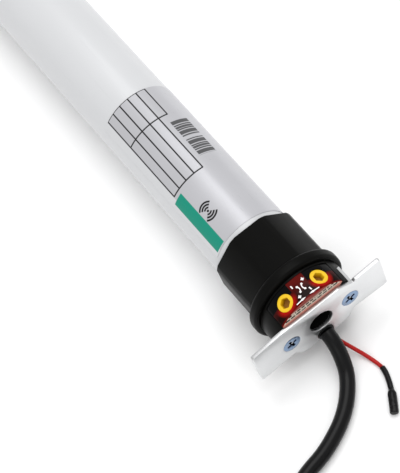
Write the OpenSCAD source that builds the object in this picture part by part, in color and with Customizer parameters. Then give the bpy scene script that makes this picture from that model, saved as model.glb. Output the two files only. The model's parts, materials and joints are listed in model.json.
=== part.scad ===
// Tubular roller blind motor with mains lead and aerial lead.
// X runs along the motor and points out of the bracket, Y runs across the bracket, Z is up.
// The origin is the centre of the bracket's hole, on the bracket's front face.

/* [Bracket] */
// Width of the bracket, tip to tip
bracket_w = 63; // [56:1:70]
// Thickness of the bracket's sheet steel
sheet_t = 1.6; // [1.5:0.1:2]
// Height of the bracket's top edge above the axis, at the centre
bracket_top = 12.2; // [11.8:0.1:13]
// Height of the wing tips above the axis
wing_top = 10.5; // [10.2:0.1:11]
// Depth of the wing tips below the axis
wing_bottom = 9.2; // [8.6:0.1:9.8]
// Depth of the centre lobe below the axis
lobe_bottom = 12.7; // [12:0.1:13]
// Half width of the centre lobe at its foot
lobe_half_w = 11.4; // [10.8:0.1:12]
// Radius of the hole in the middle of the bracket
hole_r = 5.5; // [5:0.1:5.6]
// Distance between the two bracket screws
screw_spacing = 29; // [27:0.5:30]
// Diameter of a bracket screw's head
screw_head_d = 8; // [7:0.1:8.4]
// Diameter of a bracket screw's thread
screw_d = 4; // [3:0.1:4.4]
// Length of the bracket screws
screw_len = 11; // [8:0.5:12]
// Inner face of the bent lug, measured from the axis
lug_y = 16.6; // [16.2:0.1:17]
// Length of the bent lug behind the sheet
lug_len = 8; // [6:0.1:9]
// Height of the lug's top edge above the axis
lug_top = 9; // [8:0.1:9.2]
// Height of the lug's bottom edge above the axis
lug_foot = 3; // [2:0.1:5]

/* [Head] */
// Radius of the head's neck behind the bracket
neck_r = 19.4; // [19:0.1:19.8]
// Length of the neck
neck_len = 11.9; // [11.4:0.1:13]
// Radius of the hollow in the head
head_hollow_r = 11; // [10:0.1:12]
// Thickness of the head's front wall
head_wall = 7; // [6.5:0.1:8]
// Thickness of the red window
window_t = 1.4; // [1:0.1:1.8]
// Half angle that the window covers
window_half_deg = 49; // [47:1:54]
// Tilt of each adjuster from upright
adjuster_deg = 26; // [25:0.5:30]
// Diameter of an adjuster
adjuster_d = 7.2; // [6.6:0.1:7.6]
// Radius at which an adjuster's face lies
adjuster_face_r = 19; // [18.6:0.1:19.2]
// Length of an adjuster's head
adjuster_len = 6.5; // [6:0.1:7]
// Hexagon socket in an adjuster, across flats
socket_af = 4; // [3:0.1:4.6]

/* [Crown] */
// Octagon of the crown, across flats
crown_af = 36.9; // [36.4:0.1:37.6]
// Length of the crown's octagon
crown_len = 24; // [22:0.5:30]
// Radius of the crown's flange
flange_r = 21.5; // [21:0.1:22.5]
// Thickness of the crown's flange
flange_t = 5.2; // [4.6:0.1:6]
// Radius of the crown's bore
crown_bore_r = 16.5; // [16.2:0.05:16.6]
// Width of the crown's inner teeth
crown_gear_w = 4; // [3:0.5:6]

/* [Tube] */
// Outer diameter of the motor tube
tube_d = 35; // [34.8:0.1:35.4]
// Wall of the motor tube
tube_wall = 1; // [0.8:0.05:1.1]
// Length of the rating label
label_len = 81; // [60:1:100]
// Angle that the label covers
label_deg = 145; // [120:1:160]

/* [Limit switch] */
// Length of the limit switch housing with its end plate
housing_len = 43; // [41:0.5:52]
// Wall of the limit switch housing
housing_wall = 1.65; // [1.4:0.05:1.8]
// Thickness of the housing's front wall
housing_front_t = 5; // [4.5:0.1:6]
// Thickness of the end plate
end_plate_t = 2; // [1.5:0.1:3]
// Radius of the limit spindle
spindle_r = 2.5; // [2:0.1:2.6]
// Length of the traveller along the spindle
traveller_len = 6; // [4:0.5:6.5]
// Radius of the guide rod
guide_r = 1.25; // [1:0.05:1.5]

/* [Electronics] */
// Length of the tray
tray_len = 146; // [142:1:160]
// Radius of the run capacitor
capacitor_r = 12; // [11:0.5:12.5]
// Length of the run capacitor
capacitor_len = 46; // [40:1:48]

/* [Motor and brake] */
// Length of the stator core
stator_len = 48; // [40:1:60]
// Radius of the stator's bore
stator_bore_r = 9.5; // [9.2:0.1:10]
// Air gap between rotor and stator
air_gap = 0.4; // [0.3:0.05:0.6]
// Overhang of the windings at each end
overhang = 9; // [7:0.5:11]
// Thickness of each end shield
shield_t = 6; // [5:0.5:8]
// Radius of the rotor shaft
shaft_r = 3; // [2.6:0.1:3.2]
// Length of the brake magnet
magnet_len = 12; // [11:0.5:14]
// Travel of the brake's armature
brake_travel = 0.6; // [0.4:0.1:0.8]
// Thickness of the brake's friction disc
disc_t = 3; // [2:0.1:4]

/* [Gearbox] */
// Gear module
gear_m = 0.6; // [0.58:0.005:0.61]
// Width of the planet gears
gear_w = 9; // [7:0.5:10]
// Thickness of a planet carrier's disc
carrier_t = 3.5; // [2.5:0.1:4]
// Radius of the planet pins
pin_r = 1.5; // [1.2:0.1:1.6]
// Radius of the output shaft
output_r = 5; // [4.5:0.1:5.5]
// Length of the end cap inside the tube
cap_len = 16; // [14:0.5:20]

/* [Drive wheel] */
// Octagon of the drive wheel, across flats
drive_af = 36.9; // [36.4:0.1:37.6]
// Length of the drive wheel
drive_len = 22; // [18:0.5:28]

/* [Leads] */
// Diameter of the mains lead
lead_d = 6.4; // [6:0.1:6.6]
// Depth of the mains lead below the axis where it leaves the bracket
lead_drop = 10; // [9.9:0.1:10.2]
// Length of the gland in front of the bracket
gland_out = 0.4; // [0.2:0.1:1]
// Diameter of a core in the mains lead
core_d = 2.2; // [2:0.1:2.3]
// Length of a core's end ferrule
ferrule_len = 8; // [6:0.5:10]
// Diameter of the aerial wire
aerial_d = 1.7; // [1.5:0.1:1.8]
// Diameter of the sleeve on the aerial wire
aerial_sleeve_d = 2.3; // [2.1:0.1:2.5]
// Diameter of the cap at the end of the aerial
aerial_cap_d = 3.6; // [3.2:0.1:3.8]

/* [Hidden] */
$fn = 64;
// Overshoot of a cut past the face that it opens
cut = 1;

// Clearances
// Gap along the axis between parts that turn past each other
run_gap = 0.4;
// Radial clearance of a turning part on its seat
fit = 0.08;
// Radial clearance of a shaft in its bush or bore
bush_fit = 0.04;
// Radial clearance of a part that is seated in the tube or in another part
seat = 0.05;
// Radial clearance of a part that is pressed on a shaft
press = 0.02;
// Clearance of the gland, the window and the lug in their pockets
pocket = 0.15;

// Stations along the axis, from the bracket to the drive wheel
sheet_back = -sheet_t;
neck_back = sheet_back - neck_len;
crown_front = neck_back - run_gap;
flange_back = crown_front - flange_t;
crown_back = flange_back - crown_len;
crown_gear_front = crown_back + crown_gear_w;
tube_front = crown_back - run_gap;
housing_back = tube_front - housing_len;
tray_back = housing_back - tray_len;
rear_shield_back = tray_back - shield_t;
stator_front = rear_shield_back - run_gap - overhang;
stator_back = stator_front - stator_len;
front_shield_front = stator_back - overhang - run_gap;
front_shield_back = front_shield_front - shield_t;
magnet_back = front_shield_back - magnet_len;
armature_t = 2;
brake_gap = 0.1;
armature_front = magnet_back - brake_travel - brake_gap;
armature_back = armature_front - armature_t;
disc_front = armature_back - brake_gap;
disc_back = disc_front - disc_t;
gear_wall_t = 3;
gear_wall_front = disc_back - brake_gap;
gear_front = gear_wall_front - gear_wall_t;
stage_side = 1;
carrier_gap = 0.5;
stage_pitch = stage_side + gear_w + carrier_gap + carrier_t + 5;
gear_back = gear_front - 3 * stage_pitch;
tube_back = gear_back - cap_len;
cap_flange_t = 2;
cap_back = tube_back - cap_flange_t;
drive_front = cap_back - run_gap;
drive_back = drive_front - drive_len;
clip_t = 1;
shaft_stub = 2.5;
output_end = drive_back - shaft_stub;

// Radii that follow from the tube and the crown
tube_r = tube_d / 2;
tube_bore_r = tube_r - tube_wall;
seated_r = tube_bore_r - seat;
spigot_r = crown_bore_r - fit;
housing_bore_r = seated_r - housing_wall;
floor_z = -flange_r;

// Bracket lug, window and adjusters
lug_clear = 0.3;
adjuster_at = 0.47;
neck_mid = sheet_back - adjuster_at * neck_len;
adjuster_foot = adjuster_face_r - adjuster_len;
adjuster_r = adjuster_d / 2;
adjuster_stem_r = 1.8;
adjuster_end = adjuster_foot - 4;
window_top_r = neck_r - 0.1;
window_floor_r = window_top_r - window_t;
window_rim = 0.9;
window_back = neck_back + window_rim;
window_side_deg = 0.5;
window_front_t = 1.2;
window_foot = bracket_top - 1;
socket_depth = 3;

// Slopes under the neck behind the bracket's lower edge, and the recess behind its hole
neck_fall = 2;
stud_depth = 5;
lobe_lap = 0.8;
wing_lap = 1.5;

// Corners of the bracket's tips and of its centre lobe, and edge of the crown's flange
tip_r = 1;
lobe_r = 2.8;
flange_edge_r = 1.6;

// Crown gear and limit spindle
crown_teeth = 40;
pinion_teeth = 16;
crown_gear_m = 0.8;
spindle_drop = crown_gear_m * (crown_teeth - pinion_teeth) / 2;
pinion_clear = 0.8;
tail_r = crown_gear_m * crown_teeth / 2 - 1.4;
journal_r = 1.5;
guide_drop = 5;
housing_inside_front = tube_front - housing_front_t;
housing_inside_back = housing_back + end_plate_t;
housing_mid = (housing_inside_front + housing_inside_back) / 2;
switch_w = 12;
switch_t = 4.4;
switch_h = 6;
switch_end = 0.4;
board_t = 1.6;
switch_board_z = 3.4;
guide_inset = 1;
wire_hole_r = 3;
wire_rise = tube_bore_r / 2;

// Screws through the tube: two into the limit housing and two into the end cap, on its underside
tube_screw_r = 1.4;
tube_screw_head_r = 2.6;
tube_screw_head_t = 0.8;
tube_screw_inset = 1.6;
tube_screw_places = [
    for (x = [tube_front - housing_front_t / 2, tube_back + cap_len / 2], tilt = [-140, 140]) [x, tilt]
];

// Electronics
tray_wall = 1.5;
tray_top = -2;
tray_bore_r = seated_r - tray_wall;
board_end = 3;
board_half_w = 15.6;
board_top = tray_top + board_t;
board_front = housing_back - board_end;
relay_size = [19, 10, 10.5];
relay_y = 6;
relay_x = 22;
radio_size = [20, 12, 1];
radio_can = [14, 9, 2.4];
radio_end = 16;
capacitor_end = 5;
capacitor_lead_len = 2;
capacitor_room = 4;
capacitor_back = tray_back + capacitor_end;
capacitor_front = capacitor_back + capacitor_len;
board_back = capacitor_front + capacitor_lead_len + capacitor_room;
capacitor_lead_r = 4;
cradle_t = 4;
cradle_at = [0.2, 0.8];

// Motor and brake
slots = 12;
slot_depth = 4.2;
slot_w = 3;
slot_clear = 0.15;
slot_in_r = stator_bore_r + 1.2;
bush_r = 5.4;
rotor_r = stator_bore_r - air_gap;
shaft_front = tray_back - 1.2;
spring_mean_r = 6.2;
spring_wire = 1;
spring_turns = 5;
spring_pocket_r = 7.6;
spring_floor_t = 3.5;
spring_front = front_shield_back - spring_floor_t;
disc_r = 13;
armature_r = 15.4;
armature_bore_r = 4.4;

// Planetary gears: every stage has the same sun, planets and ring
sun_teeth = 12;
planet_teeth = 15;
ring_teeth = sun_teeth + 2 * planet_teeth;
planets = 3;
orbit_r = gear_m * (sun_teeth + planet_teeth) / 2;
carrier_r = orbit_r + pin_r + 1.6;
sun_shaft_r = 1.7;
tooth_add = 0.85;
tooth_ded = 1.25;
tooth_root = 0.72;
tooth_tip = 0.3;
space_root = 1.24;
space_tip = 0.84;

// Output, drive wheel
output_bush_r = output_r + 2;
drive_flat = output_r - 0.8;
corner_share = 0.526;
hub_r = output_r + 3.5;
recess_depth = 5;
rim_t = 2.6;
rib_t = 1.8;
clip_r = output_r + 2.2;
groove_r = output_r - 0.8;

// Leads
lead_r = lead_d / 2;
lead_exit = [gland_out, 0, -lead_drop];
gland_wall = 0.5;
gland_depth = 3;
aerial_exit = [gland_out, 1.6, -14.1];
aerial_boss_r = 1.3;

// Tongue under the neck that holds the gland, lower on the aerial's side
tongue_wall = 0.5;
tongue_step = 0.8;
tongue_lead_w = lead_r + gland_wall + tongue_wall;
tongue_lead_bottom = lead_drop + lead_r + gland_wall + tongue_wall;
tongue_aerial_w = 4.8;
tongue_aerial_bottom = 15.9;

// The coil: layers that spiral in and out, climbing where the spiral reverses
coil_centre = [127, -22.6];
coil_mean_r = 38.4;
coil_entry_deg = 270;
coil_entry_dir = [-sin(coil_entry_deg), cos(coil_entry_deg), 0];
coil_step = 6.9;
coil_layer_turns = 3.5;
coil_layers = 2;
coil_rings = 24;
coil_out_r = coil_mean_r + coil_layer_turns * coil_step / 2;
tie_t = 1.2;
tie_w = 4.5;
tie_clear = 0.4;
coil_z = floor_z + tie_t + tie_clear + lead_r;
coil_turns = coil_layers * coil_layer_turns;

// The mains lead, from the gland to the coil
lead_route = [
    lead_exit, [5.4, -0.3, -11.8], [11, -1.6, -15.4], [17, -4.4, -18], [24, -10, -18.2],
    [29.5, -16.6, -18.2], [33.5, -24, -18.2], [36.5, -32, -18.2], [38.5, -41, -18.2],
    [42.3, -51.4, -18.2], [48.8, -60.3, -18.2], [57.4, -67.3, -18.2], [67.5, -71.6, -18.2],
    [78.5, -73.1, -18.2], [92, -73.1, -18.1], [107, -73.1, -17.4], coil_point(0) - lead_d * coil_entry_dir
];

// The aerial: a red wire, then a thin sleeve that ends in a cap
aerial_route = [
    aerial_exit, [4.5, 2.7, -15.2], [9, 4.7, -17.4], [14, 6.9, -19.8], [18.5, 8.2, -20.6], [22, 8.7, -20.6]
];
sleeve_route = [[22.4, 8.7, -20.3], [25, 8.3, -20.3], [28.5, 7.1, -20.3], [32, 5.5, -20.1], [34, 4.4, -19.8]];
cap_route = [[34, 4.4, -19.7], [37, 2.6, -19.7], [39.2, 1.2, -19.7], [41, 0, -19.7]];

// Radius of the coil after some turns: it falls to the inside and rises again at a steady rate
function coil_radius(turn) =
    let (phase = turn % (2 * coil_layer_turns))
    coil_out_r - coil_step * min(phase, 2 * coil_layer_turns - phase);

// Layers climbed after some turns: one in each half turn that holds a reversal
function coil_climb(turn) =
    let (near = round(turn / coil_layer_turns), from = (turn - near * coil_layer_turns) * 2)
    turn < 0.25 ? 0
        : turn > coil_turns - 0.25 ? coil_layers - 1
        : near - 0.5 + max(-0.5, min(0.5, from));

// A point on the coil's centre line, wound anticlockwise from where the lead enters
function coil_point(turn) = [
    coil_centre[0] + coil_radius(turn) * cos(coil_entry_deg + 360 * turn),
    coil_centre[1] + coil_radius(turn) * sin(coil_entry_deg + 360 * turn),
    coil_z + coil_step * coil_climb(turn)
];

coil_end = coil_point(coil_turns);
coil_path = [
    coil_point(0) - lead_d * coil_entry_dir,
    for (i = [0 : coil_turns * coil_rings]) coil_point(i / coil_rings),
    coil_end + lead_d * coil_entry_dir
];

// The least gap between one turn of the coil and another, measured between points of its centre line
function coil_gap() = min([
    for (i = [0 : 2 : coil_turns * coil_rings])
        for (j = [i + coil_rings / 2 : coil_turns * coil_rings])
            norm(coil_point(i / coil_rings) - coil_point(j / coil_rings))
]) - lead_d;
echo("least gap of the coil to itself, mm", coil_gap());

// The cores leave the lead's end and follow the coil's last turn on
core_orbit = 1.35;
core_run_deg = 63;
core_clear = 0.7;
core_start_deg = coil_entry_deg + asin((lead_d + core_clear) / coil_out_r);
core_rings = 10;
core_drop = 1.8;
function core_centre(part) =
    let (a = core_start_deg + core_run_deg * part, r = coil_out_r + coil_step * core_run_deg * part / 360)
    [coil_centre[0] + r * cos(a), coil_centre[1] + r * sin(a), coil_end[2] - core_drop * part];

// Vector helpers for the swept tubes
function unit(v) = v / norm(v);
function last(list) = list[len(list) - 1];
function route_dir(route, i) =
    unit(route[min(i + 1, len(route) - 1)] - route[max(i - 1, 0)]);

// A round tube swept along a route, with flat ends; up is a direction that the route never takes
module swept_tube(route, radius, sides, up = [0, 0, 1], first_dir = undef, last_dir = undef) {
    count = len(route);
    function dir(i) =
        i == 0 && !is_undef(first_dir) ? first_dir
            : i == count - 1 && !is_undef(last_dir) ? last_dir
            : route_dir(route, i);
    rings = [
        for (i = [0 : count - 1])
            let (side = unit(cross(dir(i), up)), rise = cross(side, dir(i)))
            for (k = [0 : sides - 1])
                route[i] + radius * (cos(360 * k / sides) * side + sin(360 * k / sides) * rise)
    ];
    walls = [
        for (i = [0 : count - 2])
            for (k = [0 : sides - 1])
                let (a = i * sides + k, b = i * sides + (k + 1) % sides)
                each [[a, b, a + sides], [b, b + sides, a + sides]]
    ];
    ends = [
        for (k = [1 : sides - 2])
            let (top = (count - 1) * sides)
            each [[0, k + 1, k], [top, top + k, top + k + 1]]
    ];
    polyhedron(points = rings, faces = concat(walls, ends), convexity = 10);
}

// Turn a shape so that its X, Y and Z lie along the part's Y, Z and X, from a station on the axis
module station(x) {
    translate([x, 0, 0]) rotate(a = 120, v = [1, 1, 1]) children();
}

// A round bar between two stations
module bar(back, front, r) {
    station(back) cylinder(h = front - back, r = r);
}

// A round bar with a bore
module sleeve(back, front, r, bore) {
    difference() {
        bar(back, front, r);
        bar(back - cut, front + cut, bore);
    }
}

// A radial cylinder on the neck or tube, tilted from upright toward +Y
module radial(x, tilt, from, to, r, sides = 64) {
    translate([x, 0, 0]) rotate([-tilt, 0, 0]) translate([0, 0, from])
        cylinder(h = to - from, r = r, $fn = sides);
}

// Points of a toothed outline: base and tip radius, and half widths of a tooth at each
function tooth_ring(teeth, base, tip, base_half, tip_half) = [
    for (i = [0 : teeth - 1])
        let (a = 360 * i / teeth, b = base_half / base * 180 / PI, t = tip_half / tip * 180 / PI)
        each [
            base * [cos(a - b), sin(a - b)],
            tip * [cos(a - t), sin(a - t)],
            tip * [cos(a + t), sin(a + t)],
            base * [cos(a + b), sin(a + b)]
        ]
];

// Outer gear with a tooth on local +X
module gear_outline(teeth, m) {
    pitch_r = m * teeth / 2;
    root_r = pitch_r - tooth_ded * m;
    tip_at = pitch_r + tooth_add * m;
    polygon(tooth_ring(teeth, root_r, tip_at, tooth_root * m, tooth_tip * m));
}

// Hole of an inner gear with a space on local +X
module inner_gear_outline(teeth, m) {
    pitch_r = m * teeth / 2;
    root_r = pitch_r - tooth_add * m;
    tip_at = pitch_r + tooth_ded * m;
    polygon(tooth_ring(teeth, root_r, tip_at, space_root * m, space_tip * m));
}

// Octagon with flats up, down and at the sides, its corners rounded by a circle
module octagon(af) {
    intersection() {
        rotate(22.5) circle(d = af / cos(22.5), $fn = 8);
        circle(r = corner_share * af);
    }
}

// The gland's outline seen along the axis, grown by a clearance
module gland_outline(grow) {
    translate([0, -lead_drop]) circle(r = lead_r + gland_wall + grow);
    translate([aerial_exit[1], aerial_exit[2]]) circle(r = aerial_boss_r + grow);
    translate([0, aerial_exit[2] - aerial_boss_r / 2 - grow])
        square([aerial_exit[1], aerial_boss_r + 2 * grow]);
}

// A sector of a ring about the axis, measured from upright to both sides
module top_sector(back, front, r_in, r_out, half_deg) {
    station(back) rotate(90 - half_deg) rotate_extrude(angle = 2 * half_deg)
        translate([r_in, 0]) square([r_out - r_in, front - back]);
}

// Points of one rounded corner of an outline; each corner is given as x, y and radius
function round_corner(before, at, after, steps = 5) =
    let (
        b = [at[0], at[1]],
        u = unit([before[0], before[1]] - b),
        v = unit([after[0], after[1]] - b),
        half = acos(u * v) / 2,
        centre = b + unit(u + v) * at[2] / sin(half),
        first = b + u * at[2] / tan(half) - centre,
        sweep = (180 - 2 * half) * sign(cross(-u, v)),
        from = atan2(first[1], first[0])
    )
    [for (k = [0 : steps]) centre + at[2] * [cos(from + sweep * k / steps), sin(from + sweep * k / steps)]];

// The bracket's sheet, before its holes
module bracket_outline() {
    tip = bracket_w / 2;
    step_y = lobe_half_w + 3;
    lug_out = lug_y + sheet_t;
    wing_root = -wing_bottom + 1;
    corners = [
        [-tip, wing_top, tip_r], [-lug_y, bracket_top, 4], [lobe_half_w, bracket_top, 1],
        [lug_out, lug_top, 0.3], [lug_out + 1, lug_top + 0.9, 1],
        [tip, wing_top, tip_r], [tip, -wing_bottom, tip_r],
        [step_y, wing_root, 1.5], [lobe_half_w, -lobe_bottom, lobe_r], [-lobe_half_w, -lobe_bottom, lobe_r],
        [-step_y, wing_root, 1.5], [-tip, -wing_bottom, tip_r]
    ];
    count = len(corners);
    polygon([
        for (i = [0 : count - 1])
            each round_corner(corners[(i + count - 1) % count], corners[i], corners[(i + 1) % count])
    ]);
}

module mounting_bracket() {
    color("silver") difference() {
        union() {
            station(sheet_back) linear_extrude(sheet_t) difference() {
                bracket_outline();
                circle(r = hole_r);
                gland_outline(pocket);
                translate([-lead_r - gland_wall - pocket, -2 * lobe_bottom])
                    square([2 * (lead_r + gland_wall + pocket), 2 * lobe_bottom - lead_drop]);
            }
            translate([sheet_back - lug_len, lug_y, lug_foot])
                cube([lug_len + sheet_t / 2, sheet_t, lug_top - lug_foot]);
        }
        for (side = [-1, 1]) translate([0, side * screw_spacing / 2, 0]) screw_cone(pocket, sheet_t);
    }
}

// A countersunk head's cone, and its hole past it, open to +X
module screw_cone(grow, depth) {
    station(-depth) cylinder(h = depth, r1 = screw_d / 2 + grow, r2 = screw_head_d / 2 + grow);
    station(-depth - cut) cylinder(h = depth + cut, r = screw_d / 2 + grow);
}

module bracket_screws() {
    recess_w = 1.2;
    recess_depth = 1.3;
    sunk = 0.05;
    color("lightsteelblue") for (y = [-0.5, 0.5] * screw_spacing) translate([-sunk, y, 0]) difference() {
        union() {
            station(-sheet_t) cylinder(h = sheet_t, r1 = screw_d / 2, r2 = screw_head_d / 2);
            bar(-screw_len, -sheet_t, screw_d / 2);
        }
        for (turn = [0, 90]) station(-recess_depth) rotate(turn + 20) translate([0, 0, cut])
            cube([0.6 * screw_head_d, recess_w, 2 * recess_depth], center = true);
    }
}

// A cut along Y that slopes the neck's underside back from the bracket's lower edge
module neck_slope(edge, y_from, y_to) {
    low = neck_r + cut;
    translate([0, y_to, 0]) rotate([90, 0, 0]) linear_extrude(y_to - y_from)
        polygon([
            [sheet_back + cut, neck_fall * cut - edge], [sheet_back + cut, -low],
            [sheet_back - (low - edge) / neck_fall, -low]
        ]);
}

module head_body() {
    screw_hole_end = -screw_len - cut;
    color("#1b1b1d") difference() {
        union() {
            bar(neck_back, sheet_back, neck_r);
            bar(crown_gear_front + run_gap, neck_back, spigot_r);
            bar(tube_front, crown_gear_front + run_gap, tail_r);
        }
        top_sector(window_back, sheet_back + cut, window_floor_r - pocket, neck_r + cut,
            window_half_deg + window_side_deg);
        window_front(pocket, window_side_deg);
        bar(sheet_back - stud_depth, sheet_back + cut, hole_r);
        bar(tube_front - cut, sheet_back - head_wall, head_hollow_r);
        for (side = [-1, 1]) {
            radial(neck_mid, side * adjuster_deg, adjuster_foot - fit, neck_r + cut, adjuster_r + fit);
            radial(neck_mid, side * adjuster_deg, adjuster_end - fit, neck_r, adjuster_stem_r + fit);
            translate([0, side * screw_spacing / 2, 0])
                bar(screw_hole_end, sheet_back + cut, screw_d / 2 + seat);
        }
        station(sheet_back - gland_depth) linear_extrude(gland_depth + cut) gland_outline(pocket);
        neck_slope(tongue_aerial_bottom, -tongue_lead_w - cut, tongue_aerial_w + cut);
        neck_slope(tongue_lead_bottom, -tongue_lead_w - cut, -tongue_step);
        for (side = [0, 1]) mirror([0, side, 0]) {
            tongue_w = [tongue_aerial_w, tongue_lead_w][side];
            neck_slope(lobe_bottom - lobe_lap, tongue_w, lobe_half_w - lobe_lap);
            neck_slope(wing_bottom - wing_lap, lobe_half_w - lobe_lap - cut, neck_r + cut);
        }
        translate([sheet_back - lug_len - lug_clear, lug_y - lug_clear, lug_foot - lug_clear])
            cube([lug_len + lug_clear + cut, neck_r, lug_top - lug_foot + 2 * lug_clear]);
        translate([0, 0, -spindle_drop]) {
            bar(tube_front - cut, crown_gear_front + pinion_clear,
                crown_gear_m * (pinion_teeth / 2 + tooth_add) + pinion_clear);
        }
    }
}

// The window's front wall, which shows above the bracket, grown by a clearance
module window_front(grow, side_deg) {
    back = sheet_back - window_front_t - grow;
    intersection() {
        top_sector(back, sheet_back + 2 * grow, head_hollow_r, window_top_r, window_half_deg + side_deg);
        translate([back, -neck_r, window_foot - grow]) cube(2 * neck_r);
    }
}

module adjuster_window() {
    color("#7a1010", 0.8) difference() {
        union() {
            top_sector(window_back + pocket, sheet_back, window_floor_r, window_top_r, window_half_deg);
            window_front(0, 0);
        }
        for (side = [-1, 1])
            radial(neck_mid, side * adjuster_deg, 0.5 * neck_r, neck_r + cut, adjuster_r + fit);
    }
}

// An adjuster: a round head with a hexagon socket, on a thin stem
module adjuster(tilt) {
    socket_r = socket_af / 2 / cos(30);
    color("gold") difference() {
        union() {
            radial(neck_mid, tilt, adjuster_foot, adjuster_face_r, adjuster_r);
            radial(neck_mid, tilt, adjuster_end, adjuster_foot, adjuster_stem_r);
        }
        radial(neck_mid, tilt, adjuster_face_r - socket_depth, adjuster_face_r + cut, socket_r, 6);
    }
}

module up_adjuster() { adjuster(-adjuster_deg); }
module down_adjuster() { adjuster(adjuster_deg); }

module cable_gland() {
    color("#161616") station(sheet_back - gland_depth)
        linear_extrude(gland_depth - sheet_back + gland_out) gland_outline(0);
}

module crown() {
    color("#202022") difference() {
        union() {
            station(crown_back) linear_extrude(crown_len + cut) octagon(crown_af);
            station(flange_back) rotate_extrude() union() {
                square([flange_r - flange_edge_r, flange_t]);
                translate([0, flange_edge_r]) square([flange_r, flange_t - 2 * flange_edge_r]);
                for (at = [flange_edge_r, flange_t - flange_edge_r])
                    translate([flange_r - flange_edge_r, at]) circle(r = flange_edge_r);
            }
        }
        bar(crown_gear_front, crown_front + cut, crown_bore_r);
        station(crown_back - cut) linear_extrude(crown_gear_w + 2 * cut) rotate(-90)
            inner_gear_outline(crown_teeth, crown_gear_m);
    }
}

// Clearance holes for the screws through the tube
module tube_screw_holes() {
    for (place = tube_screw_places)
        radial(place[0], place[1], 0.5 * tube_r, tube_r + cut, tube_screw_r + pocket);
}

module motor_tube() {
    color("whitesmoke") difference() {
        sleeve(tube_back, tube_front, tube_r, tube_bore_r);
        tube_screw_holes();
    }
}

module rating_label() {
    film = 0.15;
    inset = 2.5;
    start_deg = 4;
    color("gainsboro") station(tube_front - inset - label_len) rotate(start_deg)
        rotate_extrude(angle = label_deg) translate([tube_r + seat, 0]) square([film, label_len]);
}

module tube_screws() {
    slot_w = 0.7;
    color("silver") for (place = tube_screw_places) difference() {
        union() {
            radial(place[0], place[1], housing_bore_r - tube_screw_inset, tube_r + 0.1, tube_screw_r);
            radial(place[0], place[1], tube_r, tube_r + tube_screw_head_t, tube_screw_head_r);
        }
        translate([place[0], 0, 0]) rotate([-place[1], 0, 0]) translate([0, 0, tube_r + tube_screw_head_t])
            cube([slot_w, 1.5 * tube_screw_head_r, tube_screw_head_t], center = true);
    }
}

module limit_housing() {
    color("dimgray") difference() {
        bar(housing_inside_back, tube_front, seated_r);
        bar(housing_inside_back - cut, housing_inside_front, housing_bore_r);
        translate([0, 0, -spindle_drop]) bar(housing_back, tube_front + cut, spindle_r + bush_fit);
        translate([0, 0, -guide_drop]) bar(housing_back, housing_inside_front + guide_inset, guide_r + seat);
        tube_screw_holes();
        translate([0, 0, wire_rise]) bar(housing_back, tube_front + cut, wire_hole_r);
    }
}

module limit_end_plate() {
    color("gray") difference() {
        bar(housing_back, housing_inside_back, seated_r);
        translate([0, 0, -spindle_drop])
            bar(housing_back - cut, housing_inside_back + cut, journal_r + bush_fit);
        translate([0, 0, -guide_drop]) bar(housing_back - cut, housing_inside_back + cut, guide_r + seat);
        translate([0, 0, wire_rise]) bar(housing_back - cut, housing_inside_back + cut, wire_hole_r);
    }
}

module limit_spindle() {
    color("burlywood") translate([0, 0, -spindle_drop]) union() {
        station(crown_back) linear_extrude(crown_gear_w) rotate(-90) gear_outline(pinion_teeth, crown_gear_m);
        bar(housing_inside_back + run_gap, crown_back, spindle_r);
        bar(housing_back, housing_inside_back + run_gap, journal_r);
    }
}

module limit_traveller() {
    half_w = 4;
    foot = -spindle_drop - spindle_r - 1.2;
    head = switch_board_z - switch_h / 2;
    color("orange") difference() {
        translate([housing_mid - traveller_len / 2, -half_w, foot])
            cube([traveller_len, 2 * half_w, head - foot]);
        translate([0, 0, -spindle_drop]) bar(housing_back, tube_front, spindle_r + bush_fit);
        translate([0, 0, -guide_drop]) bar(housing_back, tube_front, guide_r + bush_fit);
    }
}

module guide_rod() {
    color("silver") translate([0, 0, -guide_drop])
        bar(housing_back, housing_inside_front + guide_inset, guide_r);
}

module switch_board() {
    edge_r = housing_bore_r - seat;
    half_w = sqrt(edge_r * edge_r - pow(switch_board_z + board_t, 2));
    color("darkgreen") translate([housing_inside_back, -half_w, switch_board_z])
        cube([housing_inside_front - housing_inside_back, 2 * half_w, board_t]);
}

// A snap switch that hangs under the switch board at one end of the traveller's path
module limit_switch(back) {
    color("black") translate([back, -switch_w / 2, switch_board_z - switch_h])
        cube([switch_t, switch_w, switch_h]);
}

module up_limit_switch() { limit_switch(housing_inside_front - switch_end - switch_t); }
module down_limit_switch() { limit_switch(housing_inside_back + switch_end); }

module electronics_tray() {
    color("gray") difference() {
        union() {
            sleeve(tray_back, housing_back, seated_r, tray_bore_r);
            for (share = cradle_at) {
                cradle_back = capacitor_back + share * capacitor_len;
                bar(cradle_back, cradle_back + cradle_t, seated_r);
            }
        }
        translate([tray_back - cut, -tube_r, tray_top]) cube([tray_len + 2 * cut, tube_d, tube_d]);
        bar(tray_back + cut, housing_back + cut, capacitor_r + seat);
    }
}

module control_board() {
    color("seagreen") translate([board_back, -board_half_w, tray_top])
        cube([board_front - board_back, 2 * board_half_w, board_t]);
}

module relays() {
    color("royalblue") for (side = [-1, 1])
        translate([board_front - relay_x, side * relay_y, board_top + relay_size[2] / 2])
            cube(relay_size, center = true);
}

module radio_module() {
    color("silver") translate([board_back + radio_end, 0, board_top]) union() {
        translate([-radio_size[0] / 2, -radio_size[1] / 2, 0]) cube(radio_size);
        translate([-radio_can[0] / 2, -radio_can[1] / 2, radio_size[2]]) cube(radio_can);
    }
}

module run_capacitor() {
    color("lightgray") union() {
        bar(capacitor_back, capacitor_front, capacitor_r);
        bar(capacitor_front, capacitor_front + capacitor_lead_len, capacitor_lead_r);
    }
}

module rear_end_shield() {
    color("lightslategray") sleeve(rear_shield_back, tray_back, seated_r, bush_r + seat);
}

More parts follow.
